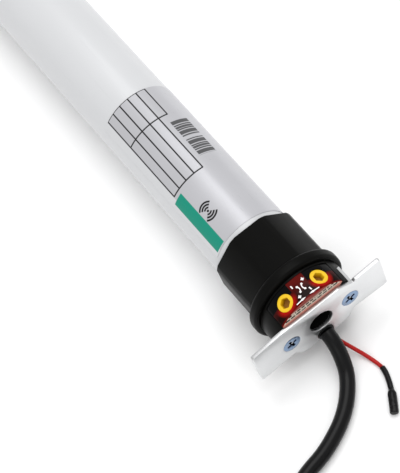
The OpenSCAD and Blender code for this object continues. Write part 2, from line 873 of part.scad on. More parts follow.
module front_end_shield() {
    color("lightslategray") sleeve(front_shield_back, front_shield_front, seated_r, bush_r + seat);
}

// The two plain bushes that carry the rotor shaft
module motor_bushes() {
    color("peru") for (back = [rear_shield_back, front_shield_back])
        sleeve(back, back + shield_t, bush_r, shaft_r + bush_fit);
}

// The stator's slots, seen along the axis and grown by a clearance
module slot_outline(grow) {
    for (i = [0 : slots - 1]) rotate(360 * i / slots)
        translate([slot_in_r - grow, -slot_w / 2 - grow])
            square([slot_depth + 2 * grow, slot_w + 2 * grow]);
}

module stator_core() {
    color("slategray") station(stator_back) linear_extrude(stator_len) difference() {
        circle(r = seated_r);
        circle(r = stator_bore_r);
        slot_outline(slot_clear);
    }
}

module stator_windings() {
    reach = overhang - run_gap;
    color("chocolate") union() {
        station(stator_back - reach) linear_extrude(stator_len + 2 * reach) slot_outline(0);
        for (back = [stator_back - reach, stator_front + run_gap])
            sleeve(back, back + reach - run_gap, slot_in_r + slot_depth, slot_in_r);
    }
}

module rotor_core() {
    color("darkgray") sleeve(stator_back, stator_front, rotor_r, shaft_r + press);
}

module rotor_shaft() {
    color("silver") union() {
        bar(gear_wall_front - gear_wall_t, shaft_front, shaft_r);
        bar(gear_front - stage_side - gear_w, gear_wall_front - gear_wall_t, sun_shaft_r);
    }
}

module brake_magnet() {
    color("darkslategray") difference() {
        bar(magnet_back, front_shield_back, seated_r);
        bar(magnet_back - cut, spring_front, spring_pocket_r);
        bar(magnet_back - cut, front_shield_back + cut, shaft_r + run_gap);
    }
}

module brake_spring() {
    rings = 8;
    length = spring_front - armature_front - spring_wire;
    route = [
        for (i = [0 : spring_turns * rings])
            let (a = 360 * i / rings)
            [
                armature_front + spring_wire / 2 + length * i / (spring_turns * rings),
                spring_mean_r * cos(a),
                spring_mean_r * sin(a)
            ]
    ];
    color("silver") swept_tube(route, spring_wire / 2, 6, [1, 0, 0]);
}

module brake_armature() {
    color("dimgray") sleeve(armature_back, armature_front, armature_r, armature_bore_r);
}

module brake_disc() {
    color("saddlebrown") sleeve(disc_back, disc_front, disc_r, shaft_r + press);
}

module ring_gear() {
    color("gainsboro") difference() {
        bar(gear_back, gear_wall_front, seated_r);
        station(gear_back - cut) linear_extrude(gear_front - gear_back + cut)
            inner_gear_outline(ring_teeth, gear_m);
        bar(gear_back, gear_wall_front + cut, shaft_r + run_gap);
    }
}

// The front face of a stage, counted from 1
function stage_front(stage) = gear_front - (stage - 1) * stage_pitch;

module input_sun_gear() {
    color("gold") difference() {
        station(gear_front - stage_side - gear_w) linear_extrude(gear_w) gear_outline(sun_teeth, gear_m);
        bar(gear_front - stage_side - gear_w - cut, gear_front, sun_shaft_r + press);
    }
}

module planet_gear(stage, index) {
    color("gold") station(stage_front(stage) - stage_side - gear_w) rotate(360 * index / planets)
        translate([orbit_r, 0, 0]) linear_extrude(gear_w) difference() {
            gear_outline(planet_teeth, gear_m);
            circle(r = pin_r + bush_fit);
        }
}

// A carrier's disc with its three planet pins
module carrier_disc(stage) {
    disc_front = stage_front(stage) - stage_side - gear_w - carrier_gap;
    bar(disc_front - carrier_t, disc_front, carrier_r);
    pin_len = carrier_t + carrier_gap + gear_w + 0.5 * stage_side;
    station(disc_front - carrier_t) for (i = [0 : planets - 1]) rotate(360 * i / planets)
        translate([orbit_r, 0, 0]) cylinder(h = pin_len, r = pin_r);
}

// A carrier that also drives the next stage's sun
module carrier(stage) {
    next_end = stage_front(stage + 1) - stage_side - gear_w;
    disc_back = stage_front(stage) - stage_side - gear_w - carrier_gap - carrier_t;
    color("lightgoldenrodyellow") union() {
        carrier_disc(stage);
        station(next_end) linear_extrude(disc_back - next_end + cut) gear_outline(sun_teeth, gear_m);
    }
}

module output_shaft() {
    disc_back = stage_front(3) - stage_side - gear_w - carrier_gap - carrier_t;
    color("silver") difference() {
        union() {
            carrier_disc(3);
            bar(drive_front, disc_back, output_r);
            station(output_end) linear_extrude(drive_front - output_end)
                flatted_outline(output_r, drive_flat);
        }
        difference() {
            bar(drive_back - clip_t - seat, drive_back - seat, output_r + cut);
            bar(drive_back - clip_t - cut, drive_back + cut, groove_r);
        }
    }
}

// A round outline with one flat on top
module flatted_outline(r, flat) {
    intersection() {
        circle(r = r);
        translate([-r, -r]) square([2 * r, r + flat]);
    }
}

module gearbox_end_cap() {
    color("gray") difference() {
        union() {
            bar(tube_back, gear_back, seated_r);
            bar(cap_back, tube_back, tube_r);
        }
        bar(cap_back - cut, gear_back + cut, output_bush_r + seat);
        tube_screw_holes();
    }
}

module output_bush() {
    color("peru") sleeve(cap_back, gear_back, output_bush_r, output_r + bush_fit);
}

module drive_wheel() {
    color("#26262a") difference() {
        station(drive_back) linear_extrude(drive_len) octagon(drive_af);
        station(drive_back - cut) linear_extrude(drive_len + 2 * cut)
            flatted_outline(output_r + seat, drive_flat + seat);
        station(drive_back - cut) linear_extrude(recess_depth + cut) difference() {
            octagon(drive_af - 2 * rim_t);
            circle(r = hub_r);
            for (i = [0 : 3]) rotate(45 * i) square([2 * drive_af, rib_t], center = true);
        }
    }
}

module drive_wheel_clip() {
    mouth = 1.6 * groove_r;
    color("silver") station(drive_back - clip_t) linear_extrude(clip_t - seat) difference() {
        circle(r = clip_r);
        circle(r = groove_r + seat);
        translate([-mouth / 2, 0]) square([mouth, 2 * clip_r]);
    }
}

module mains_lead() {
    color("#151515") swept_tube(lead_route, lead_r, 12, first_dir = [1, 0, 0], last_dir = coil_entry_dir);
}

module mains_lead_coil() {
    color("#151515") swept_tube(coil_path, lead_r, 6, first_dir = coil_entry_dir, last_dir = coil_entry_dir);
}

// A rectangle with round corners
module rounded_rectangle(w, h, r) {
    square([w, h - 2 * r], center = true);
    square([w - 2 * r, h], center = true);
    for (x = [-1, 1], y = [-1, 1]) translate([x * (w / 2 - r), y * (h / 2 - r)]) circle(r = r);
}

// A strap round the coil's bundle, a quarter turn before the lead enters, where the layers lie in line
module coil_tie() {
    bundle_w = (ceil(coil_layer_turns) - 1) * coil_step + lead_d + 2 * tie_clear;
    bundle_h = (coil_layers - 1) * coil_step + lead_d + 2 * tie_clear;
    lock = [4, 6, 7];
    place = [coil_centre[0], coil_centre[1], coil_z + (coil_layers - 1) * coil_step / 2];
    color("white") translate(place) rotate([0, 0, coil_entry_deg - 90])
    translate([coil_mean_r, 0, 0]) union() {
        translate([0, tie_w / 2, 0]) rotate([90, 0, 0]) linear_extrude(tie_w) difference() {
            rounded_rectangle(bundle_w + 2 * tie_t, bundle_h + 2 * tie_t, lead_r + tie_t);
            rounded_rectangle(bundle_w, bundle_h, lead_r);
        }
        translate([bundle_w / 2 + tie_t + (lock[0] - tie_t) / 2, 0, 0]) cube(lock, center = true);
    }
}

// One core's centre line: it keeps its place beside the other cores
function core_route(index) = [
    for (i = [0 : core_rings])
        let (
            here = core_centre(i / core_rings),
            a = core_start_deg + core_run_deg * i / core_rings,
            out = [cos(a), sin(a), 0],
            turn = 90 + 360 * index / 3
        )
        here + core_orbit * (cos(turn) * out + sin(turn) * [0, 0, 1])
];

module mains_cores() {
    for (index = [0 : 2]) color(["sienna", "royalblue", "yellowgreen"][index])
        swept_tube(core_route(index), core_d / 2, 8);
}

module core_ferrules() {
    ferrule_r = 0.9;
    color("silver") for (index = [0 : 2]) {
        route = core_route(index);
        dir = route_dir(route, core_rings);
        translate(last(route)) rotate([0, acos(dir[2]), atan2(dir[1], dir[0])])
            cylinder(h = ferrule_len, r = ferrule_r);
    }
}

module aerial_lead() {
    color("firebrick") swept_tube(aerial_route, aerial_d / 2, 8, first_dir = [1, 0, 0]);
}

module aerial_sleeve() {
    color("#151515") union() {
        swept_tube(sleeve_route, aerial_sleeve_d / 2, 8);
        swept_tube(cap_route, aerial_cap_d / 2, 8);
    }
}

mounting_bracket();
bracket_screws();
head_body();
adjuster_window();
up_adjuster();
down_adjuster();
cable_gland();
crown();
motor_tube();
rating_label();
tube_screws();
limit_housing();
limit_end_plate();
limit_spindle();
limit_traveller();
guide_rod();
switch_board();
up_limit_switch();
down_limit_switch();
electronics_tray();
control_board();
relays();
radio_module();
run_capacitor();
rear_end_shield();
motor_bushes();
stator_core();
stator_windings();
rotor_core();
rotor_shaft();
front_end_shield();
brake_magnet();
brake_spring();
brake_armature();
brake_disc();
ring_gear();
input_sun_gear();
planet_gear(1, 0);  // stage_1_planet_a
planet_gear(1, 1);  // stage_1_planet_b
planet_gear(1, 2);  // stage_1_planet_c
carrier(1);  // stage_1_carrier
planet_gear(2, 0);  // stage_2_planet_a
planet_gear(2, 1);  // stage_2_planet_b
planet_gear(2, 2);  // stage_2_planet_c
carrier(2);  // stage_2_carrier
planet_gear(3, 0);  // stage_3_planet_a
planet_gear(3, 1);  // stage_3_planet_b
planet_gear(3, 2);  // stage_3_planet_c
output_shaft();
gearbox_end_cap();
output_bush();
drive_wheel();
drive_wheel_clip();
mains_lead();
mains_lead_coil();
coil_tie();
mains_cores();
core_ferrules();
aerial_lead();
aerial_sleeve();
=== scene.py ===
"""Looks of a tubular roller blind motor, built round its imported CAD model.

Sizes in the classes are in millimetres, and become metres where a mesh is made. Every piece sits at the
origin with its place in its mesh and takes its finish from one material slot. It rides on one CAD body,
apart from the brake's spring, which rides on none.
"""

from __future__ import annotations

import json
import logging
import math
from dataclasses import dataclass
from enum import Enum
from functools import reduce
from typing import Callable, ClassVar, Sequence, Union

import bmesh
import bpy
from mathutils import Matrix, Vector

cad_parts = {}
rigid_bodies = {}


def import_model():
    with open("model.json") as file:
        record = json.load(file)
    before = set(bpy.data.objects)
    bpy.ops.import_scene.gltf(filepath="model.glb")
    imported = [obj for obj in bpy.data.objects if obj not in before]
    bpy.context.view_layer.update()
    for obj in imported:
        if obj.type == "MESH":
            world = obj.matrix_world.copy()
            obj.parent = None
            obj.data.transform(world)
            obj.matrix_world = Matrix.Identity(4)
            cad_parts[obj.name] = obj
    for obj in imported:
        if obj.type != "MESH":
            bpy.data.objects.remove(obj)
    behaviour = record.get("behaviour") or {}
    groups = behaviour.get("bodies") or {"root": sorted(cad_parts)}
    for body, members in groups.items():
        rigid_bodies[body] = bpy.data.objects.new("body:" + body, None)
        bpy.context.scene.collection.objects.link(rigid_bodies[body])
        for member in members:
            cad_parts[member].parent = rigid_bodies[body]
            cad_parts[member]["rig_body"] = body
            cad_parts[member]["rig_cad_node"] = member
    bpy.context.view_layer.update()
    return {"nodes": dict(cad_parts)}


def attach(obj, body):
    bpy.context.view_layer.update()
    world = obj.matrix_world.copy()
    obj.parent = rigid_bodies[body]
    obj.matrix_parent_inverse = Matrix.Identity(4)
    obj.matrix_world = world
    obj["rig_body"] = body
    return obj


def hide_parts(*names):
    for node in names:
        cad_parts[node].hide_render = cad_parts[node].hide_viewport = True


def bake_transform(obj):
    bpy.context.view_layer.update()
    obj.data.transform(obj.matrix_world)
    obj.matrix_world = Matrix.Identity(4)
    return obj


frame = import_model()

LOG = logging.getLogger("roller_blind_motor")
MM = 0.001
MERGE_DISTANCE = 0.001 * MM
FLAT_ANGLE = math.radians(0.6)
SMOOTH_ANGLE = math.radians(32.0)
ALIGNED = 0.9
RIGID = "motor_body"
Spot = tuple[float, float]
Point = tuple[float, float, float]
Colour = tuple[float, float, float, float]


def srgb(red: int, green: int, blue: int) -> Colour:
    """Turns a colour as seen on a screen into the linear colour that a shader takes.

    Args:
        red: Red from 0 to 255.
        green: Green from 0 to 255.
        blue: Blue from 0 to 255.

    Returns:
        The linear colour with full alpha.
    """
    seen = [channel / 255 for channel in (red, green, blue)]
    linear = [c / 12.92 if c <= 0.04045 else ((c + 0.055) / 1.055) ** 2.4 for c in seen]
    return (linear[0], linear[1], linear[2], 1.0)


def shade(colour: Colour, factor: float) -> Colour:
    """Makes a colour darker or lighter by a factor."""
    return (min(1.0, colour[0] * factor), min(1.0, colour[1] * factor), min(1.0, colour[2] * factor), 1.0)


class Expression:
    """One value in a shader, with Python's operators on it."""

    def __init__(self, shader: Shader, socket: bpy.types.NodeSocket) -> None:
        """Wraps a node's output socket."""
        self.shader = shader
        self.socket = socket

    def _math(self, operation: str, first: Value, second: Value = 0.0, clamp: bool = False) -> Expression:
        """Adds a Math node.

        Args:
            operation: The node's operation.
            first: Its first value.
            second: Its second value.
            clamp: Whether the result is kept from 0 to 1.

        Returns:
            The node's result.
        """
        settings = {"operation": operation, "use_clamp": clamp}
        node = self.shader.node("ShaderNodeMath", settings, {0: first, 1: second})
        return Expression(self.shader, node.outputs[0])

    def __add__(self, other: Value) -> Expression:
        """Adds."""
        return self._math("ADD", self, other)

    __radd__ = __add__

    def __sub__(self, other: Value) -> Expression:
        """Subtracts a value from this one."""
        return self._math("SUBTRACT", self, other)

    def __rsub__(self, other: Value) -> Expression:
        """Subtracts this from a value."""
        return self._math("SUBTRACT", other, self)

    def __mul__(self, other: Value) -> Expression:
        """Multiplies."""
        return self._math("MULTIPLY", self, other)

    __rmul__ = __mul__

    def __truediv__(self, other: Value) -> Expression:
        """Divides by a value."""
        return self._math("DIVIDE", self, other)

    def __pow__(self, other: Value) -> Expression:
        """Raises to a power."""
        return self._math("POWER", self, other)

    def __abs__(self) -> Expression:
        """Drops the sign."""
        return self._math("ABSOLUTE", self)

    def sine(self) -> Expression:
        """Takes the sine of an angle in radians."""
        return self._math("SINE", self)

    def larger(self, other: Value) -> Expression:
        """Takes the larger of two values."""
        return self._math("MAXIMUM", self, other)

    def turned_from(self, across: Expression) -> Expression:
        """Gives the angle in degrees whose rise is this value and whose run is another."""
        return self._math("ARCTAN2", self, across) * (180 / math.pi)

    def long_side(self, other: Expression) -> Expression:
        """Gives the long side of a right triangle whose short sides are this value and another."""
        return (self * self + other * other) ** 0.5

    def swing(self, amount: float) -> Expression:
        """Turns a value from 0 to 1 into one that swings about 0, by an amount in all."""
        return (self - 0.5) * amount

    def past(self, edge: Value, soft: float) -> Expression:
        """Gives 1 above an edge and 0 below it, over a soft width."""
        return self._math("ADD", (self - edge) / soft, 0.5, clamp=True)

    def between(self, low: float, high: float, soft: float) -> Expression:
        """Gives 1 from a low to a high value, with soft edges."""
        return self.past(low, soft) * (1 - self.past(high, soft))

    def line_at(self, place: float, half: float, soft: float) -> Expression:
        """Gives 1 within half a line's width of a place."""
        return 1 - abs(self - place).past(half, soft)

    def lines_every(self, start: float, pitch: float, half: float, soft: float) -> Expression:
        """Gives 1 on evenly spaced lines.

        Args:
            start: The place of one line.
            pitch: The distance between lines.
            half: Half of a line's width.
            soft: The width of its soft edge.

        Returns:
            The mask of the lines.
        """
        phase = self._math("FLOORED_MODULO", self - (start - pitch / 2), pitch)
        return phase.line_at(pitch / 2, half, soft)


Value = Union[Expression, float]
Link = Union[Expression, bpy.types.NodeSocket, float, Sequence[float]]


class Shader:
    """The nodes of one material."""

    def __init__(self, name: str) -> None:
        """Makes a material with one Principled surface.

        Args:
            name: The material's name.
        """
        self.material = bpy.data.materials.new(name)
        self.material.use_nodes = True
        self.tree = self.material.node_tree
        self.tree.nodes.clear()
        self.surface = self.node("ShaderNodeBsdfPrincipled")
        self.output = self.node("ShaderNodeOutputMaterial", sockets={"Surface": self.surface.outputs[0]})
        self.place = self.node("ShaderNodeTexCoord").outputs["Object"]
        parts = self.node("ShaderNodeSeparateXYZ", sockets={0: self.place})
        self.x, self.y, self.z = (Expression(self, socket) * (1 / MM) for socket in parts.outputs)

    def node(
        self,
        kind: str,
        settings: dict[str, object] | None = None,
        sockets: dict[Union[str, int], Link] | None = None,
    ) -> bpy.types.Node:
        """Adds a node.

        Args:
            kind: The node's type.
            settings: Its properties, set before its sockets.
            sockets: The values or links of its input sockets.

        Returns:
            The new node.
        """
        made = self.tree.nodes.new(kind)
        for name, value in (settings or {}).items():
            setattr(made, name, value)
        for key, value in (sockets or {}).items():
            self.feed(made.inputs[key], value)
        return made

    def feed(self, socket: bpy.types.NodeSocket, value: Link) -> None:
        """Links a value to an input socket, or sets it there.

        Args:
            socket: The input socket.
            value: The link, number or colour.
        """
        if isinstance(value, Expression):
            value = value.socket
        if isinstance(value, bpy.types.NodeSocket):
            self.tree.links.new(value, socket)
        else:
            socket.default_value = value

    def give(self, **values: Link) -> None:
        """Feeds the surface's sockets, named in lower case with underscores."""
        for name, value in values.items():
            self.feed(self.surface.inputs[name.replace("_", " ").title().replace("Ior", "IOR")], value)

    def mix(self, share: Value, first: Link, second: Link) -> bpy.types.NodeSocket:
        """Mixes two colours by a share from 0 to 1."""
        settings = {"data_type": "RGBA", "clamp_factor": True}
        return self.node("ShaderNodeMix", settings, {0: share, 6: first, 7: second}).outputs[2]

    def shades(self, share: Value, colour: Colour, low: float, high: float) -> bpy.types.NodeSocket:
        """Mixes a low and a high shade of one colour by a share from 0 to 1."""
        return self.mix(share, shade(colour, low), shade(colour, high))

    def noise(self, size: float, detail: float = 2.0, stretch: Point = (1.0, 1.0, 1.0)) -> Expression:
        """Adds cloudy noise.

        Args:
            size: The size of its features in millimetres.
            detail: How many finer layers it has.
            stretch: How much finer it is along each axis.

        Returns:
            The noise, from about 0 to 1.
        """
        settings = {"operation": "MULTIPLY"}
        place = self.node("ShaderNodeVectorMath", settings, {0: self.place, 1: stretch}).outputs[0]
        sockets = {"Vector": place, "Scale": 1 / (size * MM), "Detail": detail}
        return Expression(self, self.node("ShaderNodeTexNoise", sockets=sockets).outputs["Fac"])

    def relief(self, height: Expression, depth: float) -> None:
        """Raises the surface by a height from 0 to 1 times a depth in millimetres."""
        bump = self.node("ShaderNodeBump", sockets={"Distance": depth * MM, "Height": height})
        self.give(normal=bump.outputs[0])


@dataclass(frozen=True)
class Finish:
    """A finish that several pieces may share."""

    name: str
    made: ClassVar[dict[str, bpy.types.Material]] = {}

    def material(self) -> bpy.types.Material:
        """Gives the finish's material, which is made at its first use.

        Returns:
            The material.
        """
        if self.name not in self.made:
            shader = Shader(f"{self.name}_finish")
            self.dress(shader)
            self.made[self.name] = shader.material
        return self.made[self.name]

    def dress(self, shader: Shader) -> None:
        """Sets the finish's nodes."""
        raise NotImplementedError(self.name)


@dataclass(frozen=True)
class MouldedPlastic(Finish):
    """Moulded plastic with a fine eroded grain and slightly uneven tone."""

    colour: Colour
    roughness: float = 0.42
    grain: float = 0.35
    depth: float = 0.012
    mottle: float = 0.1
    gloss: float = 0.4
    patch: float = 11.0
    wipe: float = 2.5

    def tone(self, shader: Shader) -> bpy.types.NodeSocket:
        """Gives the plastic's slightly uneven colour."""
        return shader.shades(shader.noise(self.patch, 3.0), self.colour, 1 - self.mottle, 1 + self.mottle)

    def dress(self, shader: Shader) -> None:
        """Sets an uneven tone, a grain and handling marks.

        Args:
            shader: The material's nodes.
        """
        grain = shader.noise(self.grain, 3.0)
        wipe = shader.noise(self.wipe, 4.0, (0.25, 1.0, 1.0))
        shader.give(base_color=self.tone(shader), specular_ior_level=self.gloss)
        shader.give(roughness=self.roughness + grain.swing(0.1) + wipe.swing(0.14))
        shader.relief(grain, self.depth)


@dataclass(frozen=True)
class AdjusterPlastic(MouldedPlastic):
    """Plastic of the limit adjusters, with painted shade that turns it brown down their sockets."""

    # Brown of the painted shade down the socket.
    recess_shade: Colour = srgb(150, 102, 4)
    tilt: float = 26.0
    face: float = 19.0
    rim: float = 0.3
    shaded: float = 2.6

    def tone(self, shader: Shader) -> bpy.types.NodeSocket:
        """Gives the plastic's colour, brown with painted shade deep in the socket and its own colour at the
        face.

        Args:
            shader: The material's nodes.

        Returns:
            The colour.
        """
        # Painted shade: the colour turns brown down the socket, below the face and its rim.
        lean = math.radians(self.tilt)
        height = abs(shader.y) * math.sin(lean) + shader.z * math.cos(lean)
        out = height.past(self.face - self.rim - self.shaded / 2, self.shaded)
        return shader.mix(out, self.recess_shade, super().tone(shader))


class Working(Enum):
    """How a metal piece was worked, which sets its surface pattern."""

    ROLLED = "rolled sheet"
    TURNED = "turned on a lathe"
    STACKED = "stacked from thin sheets"
    WOUND = "wound from wire"
    SINTERED = "pressed from powder"


@dataclass(frozen=True)
class BareMetal(Finish):
    """Bare or plated metal."""

    colour: Colour
    working: Working
    roughness: float = 0.3
    pitch: float = 0.4
    depth: float = 0.008
    patch: float = 7.0

    def pattern(self, shader: Shader) -> Expression:
        """Gives the height of the marks that the working left.

        Args:
            shader: The material's nodes.

        Returns:
            The height, from 0 to 1.
        """
        wave = 2 * math.pi / self.pitch
        if self.working is Working.ROLLED:
            return shader.noise(self.pitch, 3.0, (1.0, 0.06, 1.0))
        if self.working is Working.TURNED:
            return (shader.x * wave).sine() * 0.5 + 0.5
        if self.working is Working.STACKED:
            return 1 - shader.x.lines_every(0.0, self.pitch, self.pitch * 0.12, self.pitch * 0.1)
        if self.working is Working.WOUND:
            sway = shader.noise(6.0, 1.0) * 2.5
            return ((shader.y + shader.z + sway) * wave).sine() * 0.5 + 0.5
        return shader.noise(self.pitch, 4.0)

    def tone(self, shader: Shader, marks: Expression, tarnish: Expression) -> bpy.types.NodeSocket:
        """Gives the metal's colour.

        Args:
            shader: The material's nodes.
            marks: The height of its working marks.
            tarnish: Its tarnish.

        Returns:
            The colour.
        """
        tone = shader.shades(tarnish, self.colour, 0.93, 1.05)
        low = 0.35 if self.working in (Working.STACKED, Working.WOUND) else 0.96
        return shader.mix(marks, shade(self.colour, low), tone)

    def dress(self, shader: Shader) -> None:
        """Sets the metal's tone, its working marks and a faint tarnish.

        Args:
            shader: The material's nodes.
        """
        marks = self.pattern(shader)
        tarnish = shader.noise(self.patch, 4.0)
        shader.give(base_color=self.tone(shader, marks, tarnish), metallic=1.0)
        shader.give(roughness=self.roughness + tarnish.swing(0.16) + marks.swing(0.05))
        shader.relief(marks, self.depth)


@dataclass(frozen=True)
class RecessedScrew(BareMetal):
    """Blue zinc on a screw, with painted shade in its recess."""

    # Navy of the painted shade in the recess.
    recess_shade: Colour = srgb(18, 34, 74)
    face: float = -0.05
    shaded: float = 0.3

    def tone(self, shader: Shader, marks: Expression, tarnish: Expression) -> bpy.types.NodeSocket:
        """Gives the zinc's colour, and a navy painted shade below the head's face."""
        # Painted shade: darker below the head's face, down the recess.
        out = shader.x.past(self.face - self.shaded, self.shaded)
        return shader.mix(out, self.recess_shade, super().tone(shader, marks, tarnish))


@dataclass(frozen=True)
class ShearedSheet(BareMetal):
    """Zinc on punched sheet, greyer on its sheared edges than on its front face."""

    sheared: float = 0.74
    face: float = -0.14
    streak: float = 0.35

    def tone(self, shader: Shader, marks: Expression, tarnish: Expression) -> bpy.types.NodeSocket:
        """Gives the zinc's colour on the face, and a greyer one behind it.

        Args:
            shader: The material's nodes.
            marks: The height of its working marks.
            tarnish: Its tarnish.

        Returns:
            The colour.
        """
        tone = super().tone(shader, marks, tarnish)
        streaks = shader.noise(self.streak, 3.0, (0.1, 1.0, 1.0))
        edge = shader.shades(streaks, self.colour, self.sheared * 0.75, self.sheared * 1.2)
        return shader.mix(shader.x.past(self.face, 0.12), edge, tone)


@dataclass(frozen=True)
class TubePaint(Finish):
    """Pale satin paint on a drawn tube."""

    colour: Colour
    roughness: float = 0.34
    coat: float = 0.12

    def dress(self, shader: Shader) -> None:
        """Sets a soft orange peel and faint drawing lines along the tube.

        Args:
            shader: The material's nodes.
        """
        peel = shader.noise(0.9, 2.0)
        drawn = shader.noise(1.2, 3.0, (0.02, 1.0, 1.0))
        cloud = shader.noise(40.0, 2.0)
        tone = shader.shades(cloud, self.colour, 0.97, 1.03)
        shader.give(base_color=shader.mix(drawn.past(0.68, 0.1) * 0.25, tone, shade(self.colour, 0.9)))
        shader.give(roughness=self.roughness + peel.swing(0.08) + cloud.swing(0.1), coat_weight=self.coat)
        shader.relief(peel * 0.7 + drawn * 0.3, 0.01)


@dataclass(frozen=True)
class LabelFilm(Finish):
    """Silver label film with blank ruled cells, a plain band, radio arcs, bars and a bare margin.

    Places along the tube are in millimetres, and places round it in degrees.
    """

    film: Colour
    ink: Colour
    band: Colour
    margin: Colour
    radius: float = 17.7
    table: Point = (-127.0, -110.0, -78.4)
    rows: Spot = (64.2, 134.7)
    row_pitch: float = 14.1
    row_half: float = 1.0
    row_soft: float = 0.4
    row_room: float = 2.2
    rule_half: float = 0.33
    rule_soft: float = 0.12
    arc_place: Spot = (-61.2, 112.0)
    arc_first: float = 1.4
    arc_pitch: float = 1.25
    arc_half: float = 0.42
    dot_radius: float = 0.55
    bar_blocks: tuple[Spot, ...] = ((-105.5, -95.6), (-94.0, -84.0))
    bar_ends: Spot = (42.0, 70.0)
    band_along: Spot = (-76.5, -46.6)
    band_round: Spot = (123.5, 142.5)
    margin_edge: float = 136.2

    def rulings(self, x: Expression, angle: Expression) -> Expression:
        """Gives the mask of the ruled table, whose front part has one row less.

        Args:
            x: The place along the tube.
            angle: The place round the tube.

        Returns:
            The mask of its lines.
        """
        back, split, front = self.table
        low, high = self.rows
        second = low + self.row_pitch
        lines = angle.lines_every(low, self.row_pitch, self.row_half, self.row_soft)
        masks = []
        for first, last, foot in ((back - 0.1, split + 0.2, low), (split + 0.1, front + 0.1, second)):
            rows = lines * x.between(first, last, self.rule_soft)
            masks.append(rows * angle.between(foot - self.row_room, high + self.row_room, self.row_soft))
        for place, foot in ((back, low), (split, low), (front, second)):
            rule = x.line_at(place, self.rule_half, self.rule_soft)
            masks.append(rule * angle.between(foot - self.row_soft, high + self.row_soft, self.row_soft))
        return reduce(Expression.larger, masks)

    def arcs(self, x: Expression, angle: Expression) -> Expression:
        """Gives the mask of three radio arcs on each side of a dot.

        Args:
            x: The place along the tube.
            angle: The place round the tube.

        Returns:
            The mask of the arcs and the dot.
        """
        across = x - self.arc_place[0]
        round_way = (angle - self.arc_place[1]) * (math.radians(1.0) * self.radius)
        far = across.long_side(round_way)
        rings = far.lines_every(self.arc_first, self.arc_pitch, self.arc_half, 0.14)
        sides = (abs(across) - abs(round_way) * 0.8).past(0.0, 0.2)
        return (rings * far.between(1.0, 4.4, 0.1) * sides).larger(1 - far.past(self.dot_radius, 0.16))

    def bars(self, x: Expression, angle: Expression) -> Expression:
        """Gives the mask of two blocks of bars, thick ones among thin ones.

        Args:
            x: The place along the tube.
            angle: The place round the tube.

        Returns:
            The mask of the bars.
        """
        first, second = (x.between(*block, 0.1) for block in self.bar_blocks)
        thin = x.lines_every(-105.0, 1.25, 0.38, 0.12)
        thick = x.lines_every(-104.3, 3.1, 0.6, 0.12)
        return thin.larger(thick) * first.larger(second) * angle.between(*self.bar_ends, 0.6)

    def dress(self, shader: Shader) -> None:
        """Sets the film and prints on it.

        Args:
            shader: The material's nodes.
        """
        angle = shader.z.turned_from(shader.y)
        brushed = shader.noise(0.5, 3.0, (0.04, 1.0, 1.0))
        film = shader.shades(shader.noise(25.0, 2.0), self.film, 0.95, 1.05)
        band = shader.x.between(*self.band_along, 0.12) * angle.between(*self.band_round, 0.5)
        ink = self.rulings(shader.x, angle).larger(self.arcs(shader.x, angle))
        ink = ink.larger(self.bars(shader.x, angle) * 0.85)
        margin = angle.past(self.margin_edge, 0.5)
        ground = shader.mix(band, shader.mix(margin, film, self.margin), self.band)
        colour = shader.mix(ink, ground, self.ink)
        shader.give(base_color=colour, metallic=0.3 * (1 - ink.larger(band).larger(margin)))
        shader.give(roughness=0.3 + brushed.swing(0.12) + ink * 0.2, specular_ior_level=0.3)
        shader.relief(brushed * 0.6 + ink * 0.4, 0.006)


